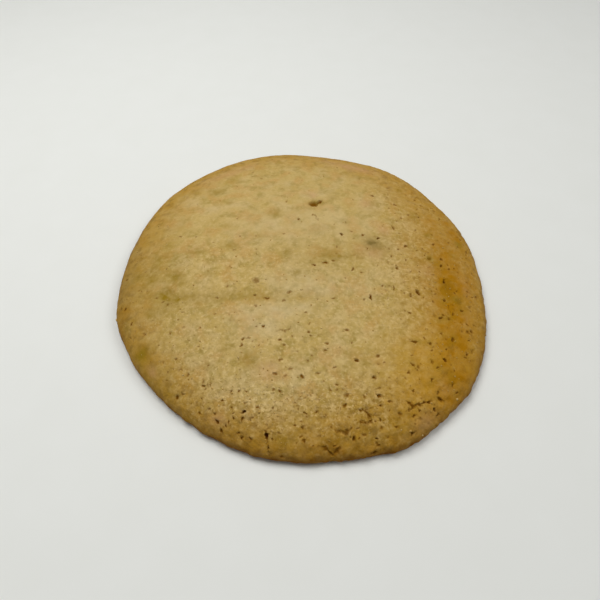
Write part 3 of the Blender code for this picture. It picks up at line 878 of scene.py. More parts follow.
@dataclass
class Relief:
    """How far the baked skin stands off the smooth dome, and how dark its hollows are."""

    dome: Dome
    pores: list[Pore]
    cracks: list[Crack]
    lump_height: float = 0.22
    lump_length: float = 15.0
    ripple_height: float = 0.06
    ripple_length: float = 4.5
    swell_height: float = 0.045
    swell_length: float = 1.9
    crumble_height: float = 0.17   # sandy lumps, full where the crust baked roughest
    crumble_length: float = 1.4
    wrinkle_height: float = 0.60
    wrinkle_width: float = 1.1
    wrinkle_length: float = 3.6
    wrinkled_along: tuple[float, float] = (-31.0, -37.0)    # from where to where they grow to full
    wrinkled_across: tuple[float, float] = (-3.0, 8.0)
    wrinkled_above: tuple[float, float] = (1.3, 3.3)
    wrinkled_rim: float = 0.40     # what is left of them at the rim
    spot_walls: float = 1.5        # power of the bowl of a sunken spot
    pore_walls: float = 0.8        # and of a pore or a crack, which is steeper
    fade: float = 1.0              # relief dies out over this height above the base, which stays flat
    ragged: float = 0.25           # how far the lips of pores and cracks wander
    ragged_length: float = 0.7
    line_shade: float = 0.45       # share of a crack's darkness that its bare line has between its pits
    torn: float = 1.6              # how much a crack narrows where it heals over
    torn_length: float = 0.8
    lip: float = 0.05              # height of the raised skin round a pore
    lip_at: float = 1.25           # where it is highest, in distances to the edge of the pore
    lip_spread: float = 0.22
    shade_ends: tuple[float, float] = (0.30, 1.12)   # distances between which a hollow's darkness fades

    def warped(self, points: np.ndarray) -> np.ndarray:
        """Push points about a little, so that round and straight shapes come out ragged.

        Args:
            points: points of the smooth dome.

        Returns:
            The points, each a little off its place.
        """
        for share in (1.0, 0.5):
            places = (points / (share * self.ragged_length)).tolist()
            push = np.array([noise.noise_vector(place) for place in places])
            points = points + share * self.ragged * push
        return points

    def near_hollows(self, points: np.ndarray) -> Iterator[tuple[Pore | Crack, np.ndarray, np.ndarray]]:
        """Go through the pores and cracks.

        Args:
            points: points of the skin.

        Yields:
            Each pore or crack, the numbers of the points near it, and their distances from it.
        """
        flat = points[:, :2]
        for pore in self.pores:
            middle = self.dome.over(pore.x, pore.y)
            near = np.nonzero(np.abs(flat - middle[:2]).max(axis=1) < pore.length)[0]
            yield pore, near, distance_to_oval(points[near], middle, pore)
        for crack in self.cracks:
            line = [self.dome.over(x, y) for x, y in crack.points]
            low, high = np.min(line, axis=0)[:2] - crack.width, np.max(line, axis=0)[:2] + crack.width
            near = np.nonzero(((flat > low) & (flat < high)).all(axis=1))[0]
            yield crack, near, distance_to_line(points[near], line, crack.width)

    def hollows(self, points: np.ndarray) -> tuple[np.ndarray, np.ndarray]:
        """Sink the pores and cracks.

        Args:
            points: points of the smooth dome.

        Returns:
            How far the skin rises there, negative in hollows, and how dark it is, 0 to 1.
        """
        healed = 1.0 + self.torn * np.clip(noise_at(points, self.torn_length), 0.0, 1.0)
        points = self.warped(points)
        depth, lips, dark = np.zeros((3, len(points)))
        for hollow, near, distance in self.near_hollows(points):
            if isinstance(hollow, Crack):
                distance = distance * healed[near]
            floor = hollow.floor if isinstance(hollow, Pore) else hollow.depth
            depth[near] = np.maximum(depth[near], floor * bowl(distance, self.pore_walls))
            ridge = bell((distance - self.lip_at) / self.lip_spread)
            lips[near] = np.maximum(lips[near], self.lip * hollow.dark * ridge)
            # Painted shade in the hollow, over the brown of its floor
            shade = hollow.dark * (1.0 - smooth_step(*self.shade_ends, distance))
            if isinstance(hollow, Crack):
                shade *= self.line_shade
            dark[near] = np.maximum(dark[near], shade)
        return lips * (depth == 0.0) - depth, dark

    def wrinkles(self, points: np.ndarray) -> np.ndarray:
        """Raise ridges that run towards the rim where the front slumped.

        Args:
            points: points of the smooth dome.

        Returns:
            How far the skin rises at each, negative between the ridges.
        """
        bearings = np.arctan2(points[:, 1], points[:, 0])
        around = bearings * self.dome.mean_radius / self.wrinkle_width
        inward = np.hypot(points[:, 0], points[:, 1]) / self.wrinkle_length
        ridges = noise_at(np.stack((around, inward, 0.0 * inward), axis=-1), 1.0)
        share = smooth_step(*self.wrinkled_along, points[:, 1])
        share *= smooth_step(*self.wrinkled_across, points[:, 0])
        above = smooth_step(*self.wrinkled_above, points[:, 2])
        share *= self.wrinkled_rim + (1.0 - self.wrinkled_rim) * above
        return self.wrinkle_height * share * ridges

    def swelling(self, points: np.ndarray) -> np.ndarray:
        """Raise the lumps, ripples and small swells of the dough, and sink its broad spots.

        Args:
            points: points of the smooth dome.

        Returns:
            How far the skin rises at each, negative where it sinks.
        """
        height = self.lump_height * noise_at(points, self.lump_length)
        height += self.ripple_height * noise_at(points, self.ripple_length)
        height += self.swell_height * noise_at(points, self.swell_length)
        height += self.crumble_height * roughness(points) * noise_at(points, self.crumble_length)
        height += self.wrinkles(points)
        for spot in SUNKEN_SPOTS:
            distance = distance_to_oval(points, self.dome.over(spot.x, spot.y), spot)
            height -= spot.depth * bowl(distance, self.spot_walls)
        crease = [self.dome.over(x, y) for x, y in SHALLOW_CREASE.points]
        distance = distance_to_line(points, crease, SHALLOW_CREASE.width)
        return height - SHALLOW_CREASE.depth * bowl(distance, self.spot_walls)


# ---------------------------------------------------------------------------------------------------
# Finishes
# ---------------------------------------------------------------------------------------------------


@dataclass(frozen=True)
class Layer:
    """One colour that lies over the ones before it, in patches of noise.

    `thin` and `thick` are its share where the noise is low and where it is high, and `painted` names
    the attribute that says where on the cookie it is.
    """

    colour: str
    patch: float
    thin: float
    thick: float
    detail: float = 3.0            # finer octaves of the noise on top
    painted: str = ""


@dataclass(frozen=True)
class BakedCrust:
    """Dry crust of baked sugar cookie dough.

    It gives the eye a matt, sandy, pale golden skin: mottled like flour and butter, browner at the rim
    and to the right, with brown pores that hold painted shade, and a sandy grain painted with highlight
    and shade.
    """

    dough: str = "#BEA262"
    roughness: float = 0.72
    shine: float = 0.08            # specular level: flour and pores break the reflection up
    layers: tuple[Layer, ...] = (
        # Mottling of the pale dough
        Layer("#A98B3A", patch=6.0, thin=-0.1, thick=0.50, detail=1.0),
        Layer("#C4AA74", patch=4.4, thin=-0.6, thick=0.80, detail=1.0),
        Layer("#B8904E", patch=3.4, thin=-0.6, thick=0.60, detail=0.0),
        Layer("#9E8640", patch=2.2, thin=-0.6, thick=0.78, detail=2.0),
        # Sandy grain: pale flour flecks, painted highlight on grain tips and painted shade in the gaps,
        # drawn coarser than the real 0.2 so that it shows
        Layer("#D4B97E", patch=1.0, thin=-0.8, thick=1.05, painted="rough"),
        Layer("#87702F", patch=0.9, thin=-0.8, thick=0.60, painted="rough"),
        Layer("#6E5418", patch=0.5, thin=-1.0, thick=0.64, painted="rough"),
        Layer("#DFC487", patch=0.6, thin=-1.2, thick=0.90, painted="rough"),
        # Golden towards the rim, with darker patches in it
        Layer("#AA7F24", patch=2.6, thin=0.68, thick=1.10, detail=2.0, painted="golden"),
        Layer("#80622A", patch=1.5, thin=-0.8, thick=0.78, detail=2.0, painted="golden"),
        # Stains, with painted light on the lower right slope and painted shade on the left flank
        Layer("#CD9C2A", patch=2.2, thin=0.55, thick=1.25, detail=1.0, painted=Tint.LIT_OCHRE.value),
        Layer("#C9B588", patch=2.6, thin=0.55, thick=1.25, detail=1.0, painted=Tint.PALE.value),
        Layer("#BF9468", patch=2.6, thin=0.55, thick=1.25, detail=1.0, painted=Tint.ROSY.value),
        Layer("#A47000", patch=1.8, thin=0.52, thick=1.24, painted=Tint.TOASTED.value),
        Layer("#8C7018", patch=1.4, thin=0.55, thick=1.25, detail=2.0, painted=Tint.OLIVE.value),
        Layer("#806A35", patch=1.4, thin=0.55, thick=1.25, detail=2.0, painted=Tint.SMUDGE_AND_SHADE.value),
        # Brown of the rim and foot; brown floors of the pores with painted shade in them; and burnt
        # floors with deep painted shade in the darkest pores
        Layer("#7C4E00", patch=1.8, thin=0.55, thick=1.25, detail=2.0, painted="browned"),
        Layer("#704700", patch=0.5, thin=1.6, thick=2.2, painted="pore"),
        Layer("#481A0C", patch=0.5, thin=0.8, thick=1.0, painted="scorched_and_shaded"),
    )
    sand: float = 0.45             # between the grains of the bump, twice as far as the real ones
    sand_depth: float = 0.15
    least_sand: float = 0.10       # share of the bump where the crust is smooth

    def material(self) -> bpy.types.Material:
        """Make the material: the painted attributes place the colours, noise breaks them up.

        Returns:
            The material.
        """
        material = bpy.data.materials.new("baked sugar cookie crust")
        material.use_nodes = True
        tree = material.node_tree
        shader = tree.nodes["Principled BSDF"]
        shader.inputs["Roughness"].default_value = self.roughness
        shader.inputs["Specular IOR Level"].default_value = self.shine
        place = add_node(tree, "ShaderNodeTexCoord").outputs["Object"]
        colour = linear(self.dough)
        for layer in self.layers:
            noisy = {"Vector": place, "Scale": waves_per_metre(layer.patch), "Detail": layer.detail}
            spread = {
                "Value": add_node(tree, "ShaderNodeTexNoise", noisy),
                "From Min": NOISE_LOW,
                "From Max": NOISE_HIGH,
                "To Min": layer.thin,
                "To Max": layer.thick,
            }
            share = add_node(tree, "ShaderNodeMapRange", spread)
            if layer.painted:
                paint = add_node(tree, "ShaderNodeAttribute", attribute_name=layer.painted)
                both = {0: share, 1: paint.outputs["Fac"]}
                share = add_node(tree, "ShaderNodeMath", both, operation="MULTIPLY", use_clamp=True)
            colours = {"Factor": share, MIX_A: colour, MIX_B: linear(layer.colour)}
            colour = add_node(tree, "ShaderNodeMix", colours, data_type="RGBA").outputs[MIX_RESULT]
        tree.links.new(colour, shader.inputs["Base Color"])
        grains = {"Vector": place, "Scale": waves_per_metre(self.sand), "Detail": 3.0}
        height = add_node(tree, "ShaderNodeTexNoise", grains)
        rough = add_node(tree, "ShaderNodeAttribute", attribute_name="rough").outputs["Fac"]
        strength = add_node(tree, "ShaderNodeMapRange", {"Value": rough, "To Min": self.least_sand})
        sand = {"Height": height, "Strength": strength, "Distance": self.sand_depth * MM}
        bump = add_node(tree, "ShaderNodeBump", sand)
        tree.links.new(bump.outputs["Normal"], shader.inputs["Normal"])
        return material


@dataclass(frozen=True)
class PlainFinish:
    """A dry, matt stuff in two close shades."""

    name: str
    light: str
    dark: str
    roughness: float
    patch: float                   # size of its uneven patches
    shine: float = 0.5             # specular level

    def material(self) -> bpy.types.Material:
        """Make the material: noise between the two shades.

        Returns:
            The material.
        """
        material = bpy.data.materials.new(self.name)
        material.use_nodes = True
        tree = material.node_tree
        shader = tree.nodes["Principled BSDF"]
        shader.inputs["Roughness"].default_value = self.roughness
        shader.inputs["Specular IOR Level"].default_value = self.shine
        place = add_node(tree, "ShaderNodeTexCoord").outputs["Object"]
        noisy = {"Vector": place, "Scale": waves_per_metre(self.patch)}
        patches = add_node(tree, "ShaderNodeTexNoise", noisy)
        shades = {"Factor": patches, MIX_A: linear(self.light), MIX_B: linear(self.dark)}
        mix = add_node(tree, "ShaderNodeMix", shades, data_type="RGBA")
        tree.links.new(mix.outputs[MIX_RESULT], shader.inputs["Base Color"])
        return material


# Sugar: small cloudy crystals, which look like pale sparkling specks on the crust
SUGAR = PlainFinish(
    "sugar crystals", light="#CBB274", dark="#B5965A", roughness=0.40, patch=0.4, shine=0.25
)
# Crumb: broken baked dough, which looks a little lighter and rougher than the crust it lies on
CRUMB = PlainFinish(
    "baked cookie crumb", light="#C8A660", dark="#9A7430", roughness=0.80, patch=0.5, shine=0.1
)
# Paper: a matt, warm white table top that takes a soft shadow
PAPER = PlainFinish("matt studio paper", light="#E6E7E2", dark="#E3E4DE", roughness=0.90, patch=9.0)


# ---------------------------------------------------------------------------------------------------
# Geometry Nodes
# ---------------------------------------------------------------------------------------------------


def piece_of(name: str, mesh: bpy.types.Mesh) -> bpy.types.Object:
    """Put a mesh in the scene as a smooth-shaded object at the origin.

    Args:
        name: what the piece and its mesh are called.
        mesh: its shape, in place.

    Returns:
        The piece.
    """
    mesh.name = name
    mesh.shade_smooth()
    piece = bpy.data.objects.new(name, mesh)
    bpy.context.scene.collection.objects.link(piece)
    return piece


@dataclass
class Tool:
    """A Geometry Nodes tree with named inputs, which works on a carrier and leaves a plain mesh."""

    name: str
    tree: bpy.types.NodeTree = field(init=False)
    given: bpy.types.Node = field(init=False)

    def __post_init__(self) -> None:
        """Start the tree with its geometry in and out."""
        self.tree = bpy.data.node_groups.new(self.name, "GeometryNodeTree")
        self.tree.interface.new_socket("Geometry", in_out="INPUT", socket_type="NodeSocketGeometry")
        self.tree.interface.new_socket("Geometry", in_out="OUTPUT", socket_type="NodeSocketGeometry")
        self.given = add_node(self.tree, "NodeGroupInput")

    def asks(self, name: str, kind: str) -> bpy.types.NodeSocket:
        """Add a named input, such as a size in metres, and return what it gives inside the tree."""
        self.tree.interface.new_socket(name, in_out="INPUT", socket_type=kind)
        return self.given.outputs[name]

    def ends(self, geometry: bpy.types.Node, material: bpy.types.NodeSocket) -> None:
        """End the tree: instances become real and take their material.

        Args:
            geometry: the node that the shape comes from.
            material: the input that the material comes from.
        """
        real = add_node(self.tree, "GeometryNodeRealizeInstances", {"Geometry": geometry})
        dressed = {"Geometry": real, "Material": material}
        dressed = add_node(self.tree, "GeometryNodeSetMaterial", dressed)
        add_node(self.tree, "NodeGroupOutput", {"Geometry": dressed})

    def use(self, carrier: bpy.types.Object, name: str, values: dict[str, Any]) -> bpy.types.Object:
        """Apply the tree.

        Args:
            carrier: the object that it works on, which is removed.
            name: the name of the piece that comes out.
            values: what each named input gets.

        Returns:
            The piece, with a plain mesh.
        """
        modifier = carrier.modifiers.new(self.name, "NODES")
        modifier.node_group = self.tree
        for item in self.tree.interface.items_tree:
            if item.in_out == "INPUT" and item.name in values:
                modifier[item.identifier] = values[item.name]
        bpy.context.view_layer.update()
        evaluated = carrier.evaluated_get(bpy.context.evaluated_depsgraph_get())
        mesh = bpy.data.meshes.new_from_object(evaluated)
        carrier.modifiers.remove(modifier)
        bpy.data.objects.remove(carrier)
        return piece_of(name, mesh)


def sandy_grain() -> Tool:
    """Build the tree that roughens a skin with fine grain and pricks it with pinholes.

    Its inputs give the distance between grains and their height, the distance between pinholes, their
    width and depth, all in metres, and the seed. Attribute "rough" says how much of it each place gets,
    and the pinholes' darkness, painted shade in them, is added to attribute "pore".

    Returns:
        The tree, ready to use on a skin.
    """
    tool = Tool("sandy grain")
    tree = tool.tree
    spacing = tool.asks("Grain spacing", "NodeSocketFloat")
    height = tool.asks("Grain height", "NodeSocketFloat")
    apart = tool.asks("Pinhole spacing", "NodeSocketFloat")
    width = tool.asks("Pinhole width", "NodeSocketFloat")
    depth = tool.asks("Pinhole depth", "NodeSocketFloat")
    darkness = tool.asks("Pinhole darkness", "NodeSocketFloat")
    seed = tool.asks("Seed", "NodeSocketFloat")
    material = tool.asks("Material", "NodeSocketMaterial")

    place = add_node(tree, "GeometryNodeInputPosition")
    rough = add_node(tree, "GeometryNodeInputNamedAttribute", {"Name": "rough"})
    scale = add_node(tree, "ShaderNodeMath", {0: 1.0, 1: spacing}, operation="DIVIDE")
    noisy = {"Vector": place, "W": seed, "Scale": scale, "Detail": 3.0, "Roughness": 0.6}
    grains = add_node(tree, "ShaderNodeTexNoise", noisy, noise_dimensions="4D")
    around = {"Value": grains, "From Min": 0.25, "From Max": 0.75, "To Min": -1.0, "To Max": 1.0}
    level = add_node(tree, "ShaderNodeMapRange", around)
    rise = add_node(tree, "ShaderNodeMath", {0: level, 1: height}, operation="MULTIPLY")

    scale = add_node(tree, "ShaderNodeMath", {0: 1.0, 1: apart}, operation="DIVIDE")
    cells = {"Vector": place, "W": seed, "Scale": scale}
    cells = add_node(tree, "ShaderNodeTexVoronoi", cells, voronoi_dimensions="4D")
    away = add_node(tree, "ShaderNodeMath", {0: cells, 1: apart}, operation="MULTIPLY")
    half = add_node(tree, "ShaderNodeMath", {0: width, 1: 2.0}, operation="DIVIDE")
    share = add_node(tree, "ShaderNodeMath", {0: away, 1: half}, operation="DIVIDE")
    hole = add_node(tree, "ShaderNodeMath", {0: 1.0, 1: share}, operation="SUBTRACT", use_clamp=True)
    hole = add_node(tree, "ShaderNodeMath", {0: hole, 1: rough}, operation="MULTIPLY")

    rise = add_node(tree, "ShaderNodeMath", {0: rise, 1: rough}, operation="MULTIPLY")
    sink = add_node(tree, "ShaderNodeMath", {0: hole, 1: depth}, operation="MULTIPLY")
    lift = add_node(tree, "ShaderNodeMath", {0: rise, 1: sink}, operation="SUBTRACT")
    normal = add_node(tree, "GeometryNodeInputNormal")
    offset = add_node(tree, "ShaderNodeVectorMath", {0: normal, "Scale": lift}, operation="SCALE")
    moved = {"Geometry": tool.given.outputs["Geometry"], "Offset": offset}
    moved = add_node(tree, "GeometryNodeSetPosition", moved)

    # Painted shade in the pinholes, added to the pores' darkness
    pore = add_node(tree, "GeometryNodeInputNamedAttribute", {"Name": "pore"})
    prick = add_node(tree, "ShaderNodeMath", {0: hole, 1: darkness}, operation="MULTIPLY")
    darker = add_node(tree, "ShaderNodeMath", {0: pore, 1: prick}, operation="MAXIMUM")
    stored = {"Geometry": moved, "Name": "pore", "Value": darker}
    tool.ends(add_node(tree, "GeometryNodeStoreNamedAttribute", stored), material)
    return tool


def strewn_grains() -> Tool:
    """Build the tree that lays one grain on each point of its carrier.

    The carrier's points have attributes "size", in metres, and "lie", the way the skin faces. The
    inputs are the object to lay down, how unequal its sides come out, how far it tips, and the seed.

    Returns:
        The tree, ready to use on a carrier.
    """
    tool = Tool("strewn grains")
    tree = tool.tree
    grain = tool.asks("Grain", "NodeSocketObject")
    least = tool.asks("Least side", "NodeSocketVector")
    tip = tool.asks("Largest turn", "NodeSocketVector")
    seed = tool.asks("Seed", "NodeSocketInt")
    material = tool.asks("Material", "NodeSocketMaterial")

    size = add_node(tree, "GeometryNodeInputNamedAttribute", {"Name": "size"})
    lie = add_node(tree, "GeometryNodeInputNamedAttribute", {"Name": "lie"}, data_type="FLOAT_VECTOR")
    upright = add_node(tree, "FunctionNodeAlignRotationToVector", {"Vector": lie}, axis="Z")
    turn = {"Max": tip, "Seed": seed}
    turn = add_node(tree, "FunctionNodeRandomValue", turn, data_type="FLOAT_VECTOR")
    turn = add_node(tree, "FunctionNodeEulerToRotation", {"Euler": turn})
    turned = {"Rotation": upright, "Rotate By": turn}
    turned = add_node(tree, "FunctionNodeRotateRotation", turned, rotation_space="LOCAL")
    sides = {"Min": least, "Seed": seed}
    sides = add_node(tree, "FunctionNodeRandomValue", sides, data_type="FLOAT_VECTOR")
    scale = add_node(tree, "ShaderNodeVectorMath", {0: sides, "Scale": size}, operation="SCALE")
    shape = add_node(tree, "GeometryNodeObjectInfo", {"Object": grain, "As Instance": True})
    laid = {
        "Points": tool.given.outputs["Geometry"],
        "Instance": shape.outputs["Geometry"],
        "Rotation": turned,
        "Scale": scale,
    }
    tool.ends(add_node(tree, "GeometryNodeInstanceOnPoints", laid), material)
    return tool


# ---------------------------------------------------------------------------------------------------
# The crust
# ---------------------------------------------------------------------------------------------------


def in_polar(flat: np.ndarray) -> np.ndarray:
    """Ring number and bearing of points of the flat layout."""
    return np.stack((np.hypot(flat[:, 0], flat[:, 1]), np.arctan2(flat[:, 1], flat[:, 0])), axis=-1)


def ring_disc(rings: int) -> tuple[np.ndarray, list[tuple[int, int, int]]]:
    """Lay out a flat disc: a middle point, then rings of six more points each, one apart.

    Args:
        rings: how many rings there are.

    Returns:
        The points, and the triangles between them, counter-clockwise.
    """
    points = [(0.0, 0.0)]
    faces = []
    inner = np.zeros(1, dtype=int)
    for ring in range(1, rings + 1):
        bearings = 2.0 * np.pi * np.arange(6 * ring) / (6 * ring)
        outer = len(points) + np.arange(6 * ring)
        points += list(zip(ring * np.cos(bearings), ring * np.sin(bearings)))
        for side in range(6):
            places = np.arange(ring)
            first = outer[side * ring + places]
            second = outer[(side * ring + places + 1) % len(outer)]
            near = inner[(side * (ring - 1) + places) % len(inner)]
            far = inner[(side * (ring - 1) + places + 1) % len(inner)]
            faces += zip(near.tolist(), first.tolist(), second.tolist())
            faces += list(zip(near.tolist(), second.tolist(), far.tolist()))[:-1]
        inner = outer
    return np.array(points), faces


@dataclass(frozen=True)
class Browning:
    """Where the oven and the butter coloured the crust, and where shade and light are painted, as
    attributes that the finish reads.
    """

    # Share of the rim radius from which it is golden, and how brown its rim is, every 45 degrees
    golden_from: tuple[float, ...] = (0.42, 0.52, 0.66, 0.68, 0.66, 0.74, 0.68, 0.43)
    browned_rim: tuple[float, ...] = (0.35, 0.17, 0.10, 0.17, 0.35, 0.09, 0.60, 0.45)
    golden_strength: float = 0.85
    # How far their limits stray, in shares of the radius, and over what length
    strays: tuple[tuple[float, float], ...] = ((0.03, 5.0), (0.02, 1.6))
    rim_span: tuple[float, float] = (0.94, 1.02)     # shares of the radius over which the rim browns
    edge_span: tuple[float, float] = (0.972, 0.994)  # and over which its outer edge does
    edge_brown: float = 0.18
    back_brown: float = 0.17       # what the outer edge gains at the back and loses in front
    foot_span: tuple[float, float] = (0.6, 2.6)      # heights over which the brown of the foot fades
    foot_brown: float = 0.70
    rough_span: tuple[float, float] = (0.1, 1.0)     # heights over which the roughness sets in
    pore_power: float = 0.83       # below 1 it makes faint pores darker
    scorched_and_shaded_from: float = 0.68    # darkness of a pore from which its floor is burnt and holds deep painted shade
    stained_above: float = 0.5     # height
    stain_ragged: float = 0.25     # how far the edges of stains wander
    stain_ragged_length: float = 2.2

    def painted(self, dome: Dome, points: np.ndarray, dark: np.ndarray) -> dict[str, np.ndarray]:
        """Paint the skin.

        Args:
            dome: the form that it follows.
            points: points of the smooth form.
            dark: how dark the pores and cracks are there.

        Returns:
            The value of each attribute at each point.
        """
        bearings = np.arctan2(points[:, 1], points[:, 0])
        height = points[:, 2]
        outward = np.hypot(points[:, 0], points[:, 1]) / dome.rim_radius(bearings)
        share = outward + sum(stray * noise_at(points, length) for stray, length in self.strays)
        golden_from = wave_through(self.golden_from, bearings)
        golden = smooth_step(0.0, 1.0, (share - golden_from) / (1.0 - golden_from))
        browned = wave_through(self.browned_rim, bearings) * smooth_step(*self.rim_span, share)
        browned += self.foot_brown * (1.0 - smooth_step(*self.foot_span, height))
        edge_brown = self.edge_brown + self.back_brown * np.sin(bearings)
        browned += edge_brown * smooth_step(*self.edge_span, outward)
        values = {
            # Brown and painted shade in the pores and cracks
            "pore": dark**self.pore_power,
            "scorched_and_shaded": smooth_step(self.scorched_and_shaded_from, 1.0, dark),
            "rough": roughness(points) * smooth_step(*self.rough_span, height),
            "golden": self.golden_strength * golden,
            "browned": np.clip(browned, 0.0, 1.0),
        }
        for tint in Tint:
            values[tint.value] = np.zeros(len(points))
        ragged = 1.0 + self.stain_ragged * noise_at(points, self.stain_ragged_length)
        above = height > self.stained_above
        for stain in STAINS + HALOS:
            distance = distance_to_oval(points, dome.over(stain.x, stain.y), stain) * ragged
            values[stain.tint.value] += stain.strength * above * bell(distance)
        return values


@dataclass
class Crust:
    """The whole baked skin, one closed mesh with its pores, cracks, stains and flat base."""

    name: str = "cookie_crust"
    dome: Dome = Dome()
    finish: BakedCrust = BakedCrust()
    fine_pores: FinePores = FinePores()
    browning: Browning = Browning()
    fine_edge: float = 0.17        # longest edge in a pore or a crack
    refining_rounds: int = 2       # each halves the edges that are still too long
    refined_to: float = 1.25       # distance from a pore, in widths, within which the skin is refined
    base_rings: int = 32           # a quarter of the dome's rings
    base_inset: float = 0.7        # between the last ring, the two that halve it, and the base's disc
    base_relief: float = 0.12      # depth of the hollows under the base
    base_relief_length: float = 2.5
    grain_spacing: float = 0.9
    grain_height: float = 0.10
    pinhole_spacing: float = 1.4
    pinhole_width: float = 0.6
    pinhole_depth: float = 0.12
    pinhole_darkness: float = 0.32
    seed: int = 3
    relief: Relief = field(init=False)

    def __post_init__(self) -> None:
        """Draw the fine pores and pits and join them to the named ones."""
        named = BURST_BUBBLES + BACK_PORES + MIDDLE_PORES + RIGHT_PORES + FRONT_PORES + LEFT_PORES
        fine = self.fine_pores.scattered(self.dome, named) + self.fine_pores.strung(CRACKS)
        self.relief = Relief(self.dome, [*named, *fine], list(CRACKS))

    def in_hollow(self, points: np.ndarray) -> np.ndarray:
        """Find the points that lie in or beside a pore or a crack.

        Args:
            points: points of the smooth dome.

        Returns:
            Whether each of them does.
        """
        found = np.zeros(len(points), dtype=bool)
        for _, near, distance in self.relief.near_hollows(points):
            found[near[distance < self.refined_to]] = True
        return found

    def refined_layout(self) -> tuple[np.ndarray, list[tuple[int, ...]], np.ndarray]:
        """Lay out the skin flat and halve the edges in pores and cracks that are too long.

        Returns:
            The ring number and bearing of each point, the triangles, and the numbers of the points
            along the edge of the base, in order of their bearings.
        """
        flat, faces = ring_disc(self.dome.rings)
        mesh = bpy.data.meshes.new("layout")
        mesh.from_pydata([(x, y, 0.0) for x, y in flat], [], faces)
        skin = bmesh.new()
        skin.from_mesh(mesh)
        bpy.data.meshes.remove(mesh)
        for _ in range(self.refining_rounds):
            edges = list(skin.edges)
            ends = np.array([[vert.co.xy for vert in edge.verts] for edge in edges])
            first, second = (self.dome.wrap(in_polar(ends[:, end])) for end in (0, 1))
            long = np.linalg.norm(second - first, axis=1) > self.fine_edge
            sunk = self.in_hollow((first + second) / 2.0)
            chosen = [edge for edge, split in zip(edges, long & sunk) if split and not edge.is_boundary]
            bmesh.ops.subdivide_edges(skin, edges=chosen, cuts=1, use_grid_fill=True)
            bmesh.ops.triangulate(skin, faces=[face for face in skin.faces if len(face.verts) > 3])
            bmesh.ops.beautify_fill(skin, faces=skin.faces, edges=skin.edges)
        skin.verts.index_update()
        layout = in_polar(np.array([vert.co.xy for vert in skin.verts]))
        faces = [tuple(vert.index for vert in face.verts) for face in skin.faces]
        edge = np.array([vert.index for vert in skin.verts if vert.is_boundary])
        skin.free()
        order = np.argsort(layout[edge, 1] % (2.0 * np.pi))
        return layout, faces, edge[order]

    def base(self, edge: np.ndarray, start: int) -> tuple[np.ndarray, list[tuple[int, int, int]]]:
        """Close the base: two rings that each halve the number of points, then a disc of rings.

        Args:
            edge: numbers of the points along the edge of the base, in order.
            start: number of the first new point.

        Returns:
            The new points, in millimetres, and the triangles, clockwise as seen from above.
        """
        disc, disc_faces = ring_disc(self.base_rings)
        polar = in_polar(disc)
        count = len(edge) // 2
        halfway = 2.0 * np.pi * np.arange(count) / count
        bearings = np.concatenate((polar[:, 1], halfway))
        foot = self.dome.rim_radius((bearings + np.pi) % (2.0 * np.pi) - np.pi) - self.dome.foot_inset
        inner = polar[:, 0] / self.base_rings * (1.0 - 2.0 * self.base_inset / self.dome.mean_radius)
        share = np.concatenate((inner, np.full(count, 1.0 - self.base_inset / self.dome.mean_radius)))
        points = from_polar(foot * share, bearings, np.zeros_like(share))
        hollows = np.clip(noise_at(points, self.base_relief_length), 0.0, 1.0)
        points[:, 2] = self.base_relief * hollows
        faces = [(start + a, start + c, start + b) for a, b, c in disc_faces]
        middle = start + len(disc) + np.arange(count)
        last = start + len(disc) - count // 2 + np.arange(count // 2)
        for wide, narrow in ((edge, middle), (middle, last)):
            for place in range(len(narrow)):
                here, there = narrow[place], narrow[(place + 1) % len(narrow)]
                a, b, c = wide[2 * place], wide[2 * place + 1], wide[(2 * place + 2) % len(wide)]
                faces += [(here, b, a), (there, c, b), (here, there, b)]
        return points, faces

    def build(self) -> bpy.types.Object:
        """Make the crust.

        Returns:
            The finished piece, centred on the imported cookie.
        """
        layout, faces, edge = self.refined_layout()
        smooth = self.dome.wrap(layout)
        rise, dark = self.relief.hollows(smooth)
        rise += self.relief.swelling(smooth)
        rise *= np.clip(smooth[:, 2] / self.relief.fade, 0.0, 1.0)
        top = smooth + rise[:, None] * self.dome.outward(layout)
        under, under_faces = self.base(edge, len(top))
        points = np.concatenate((top, under))
        dark = np.concatenate((dark, np.zeros(len(under))))
        values = self.browning.painted(self.dome, np.concatenate((smooth, under)), dark)
        low, high = (np.array(corner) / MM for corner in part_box(NODE))
        points[:, :2] += (low + high)[:2] / 2.0 - (points.max(axis=0) + points.min(axis=0))[:2] / 2.0
        mesh = bpy.data.meshes.new("skin")
        mesh.from_pydata(points * MM, [], faces + under_faces)
        for name, value in values.items():
            paint = mesh.attributes.new(name, "FLOAT", "POINT")
            paint.data.foreach_set("value", value.astype(np.float32))
        skin = piece_of("skin", mesh)
        sizes = {
            "Grain spacing": self.grain_spacing * MM,
            "Grain height": self.grain_height * MM,
            "Pinhole spacing": self.pinhole_spacing * MM,
            "Pinhole width": self.pinhole_width * MM,
            "Pinhole depth": self.pinhole_depth * MM,
            "Pinhole darkness": self.pinhole_darkness,
            "Seed": float(self.seed),
            "Material": self.finish.material(),
        }
        return sandy_grain().use(skin, self.name, sizes)


# ---------------------------------------------------------------------------------------------------
# What sticks to the crust
# ---------------------------------------------------------------------------------------------------


class GrainShape(Enum):
    """Shape of one grain."""

    CRYSTAL = "crystal"    # a worn little block
    CRUMB = "crumb"        # a lumpy, torn bit


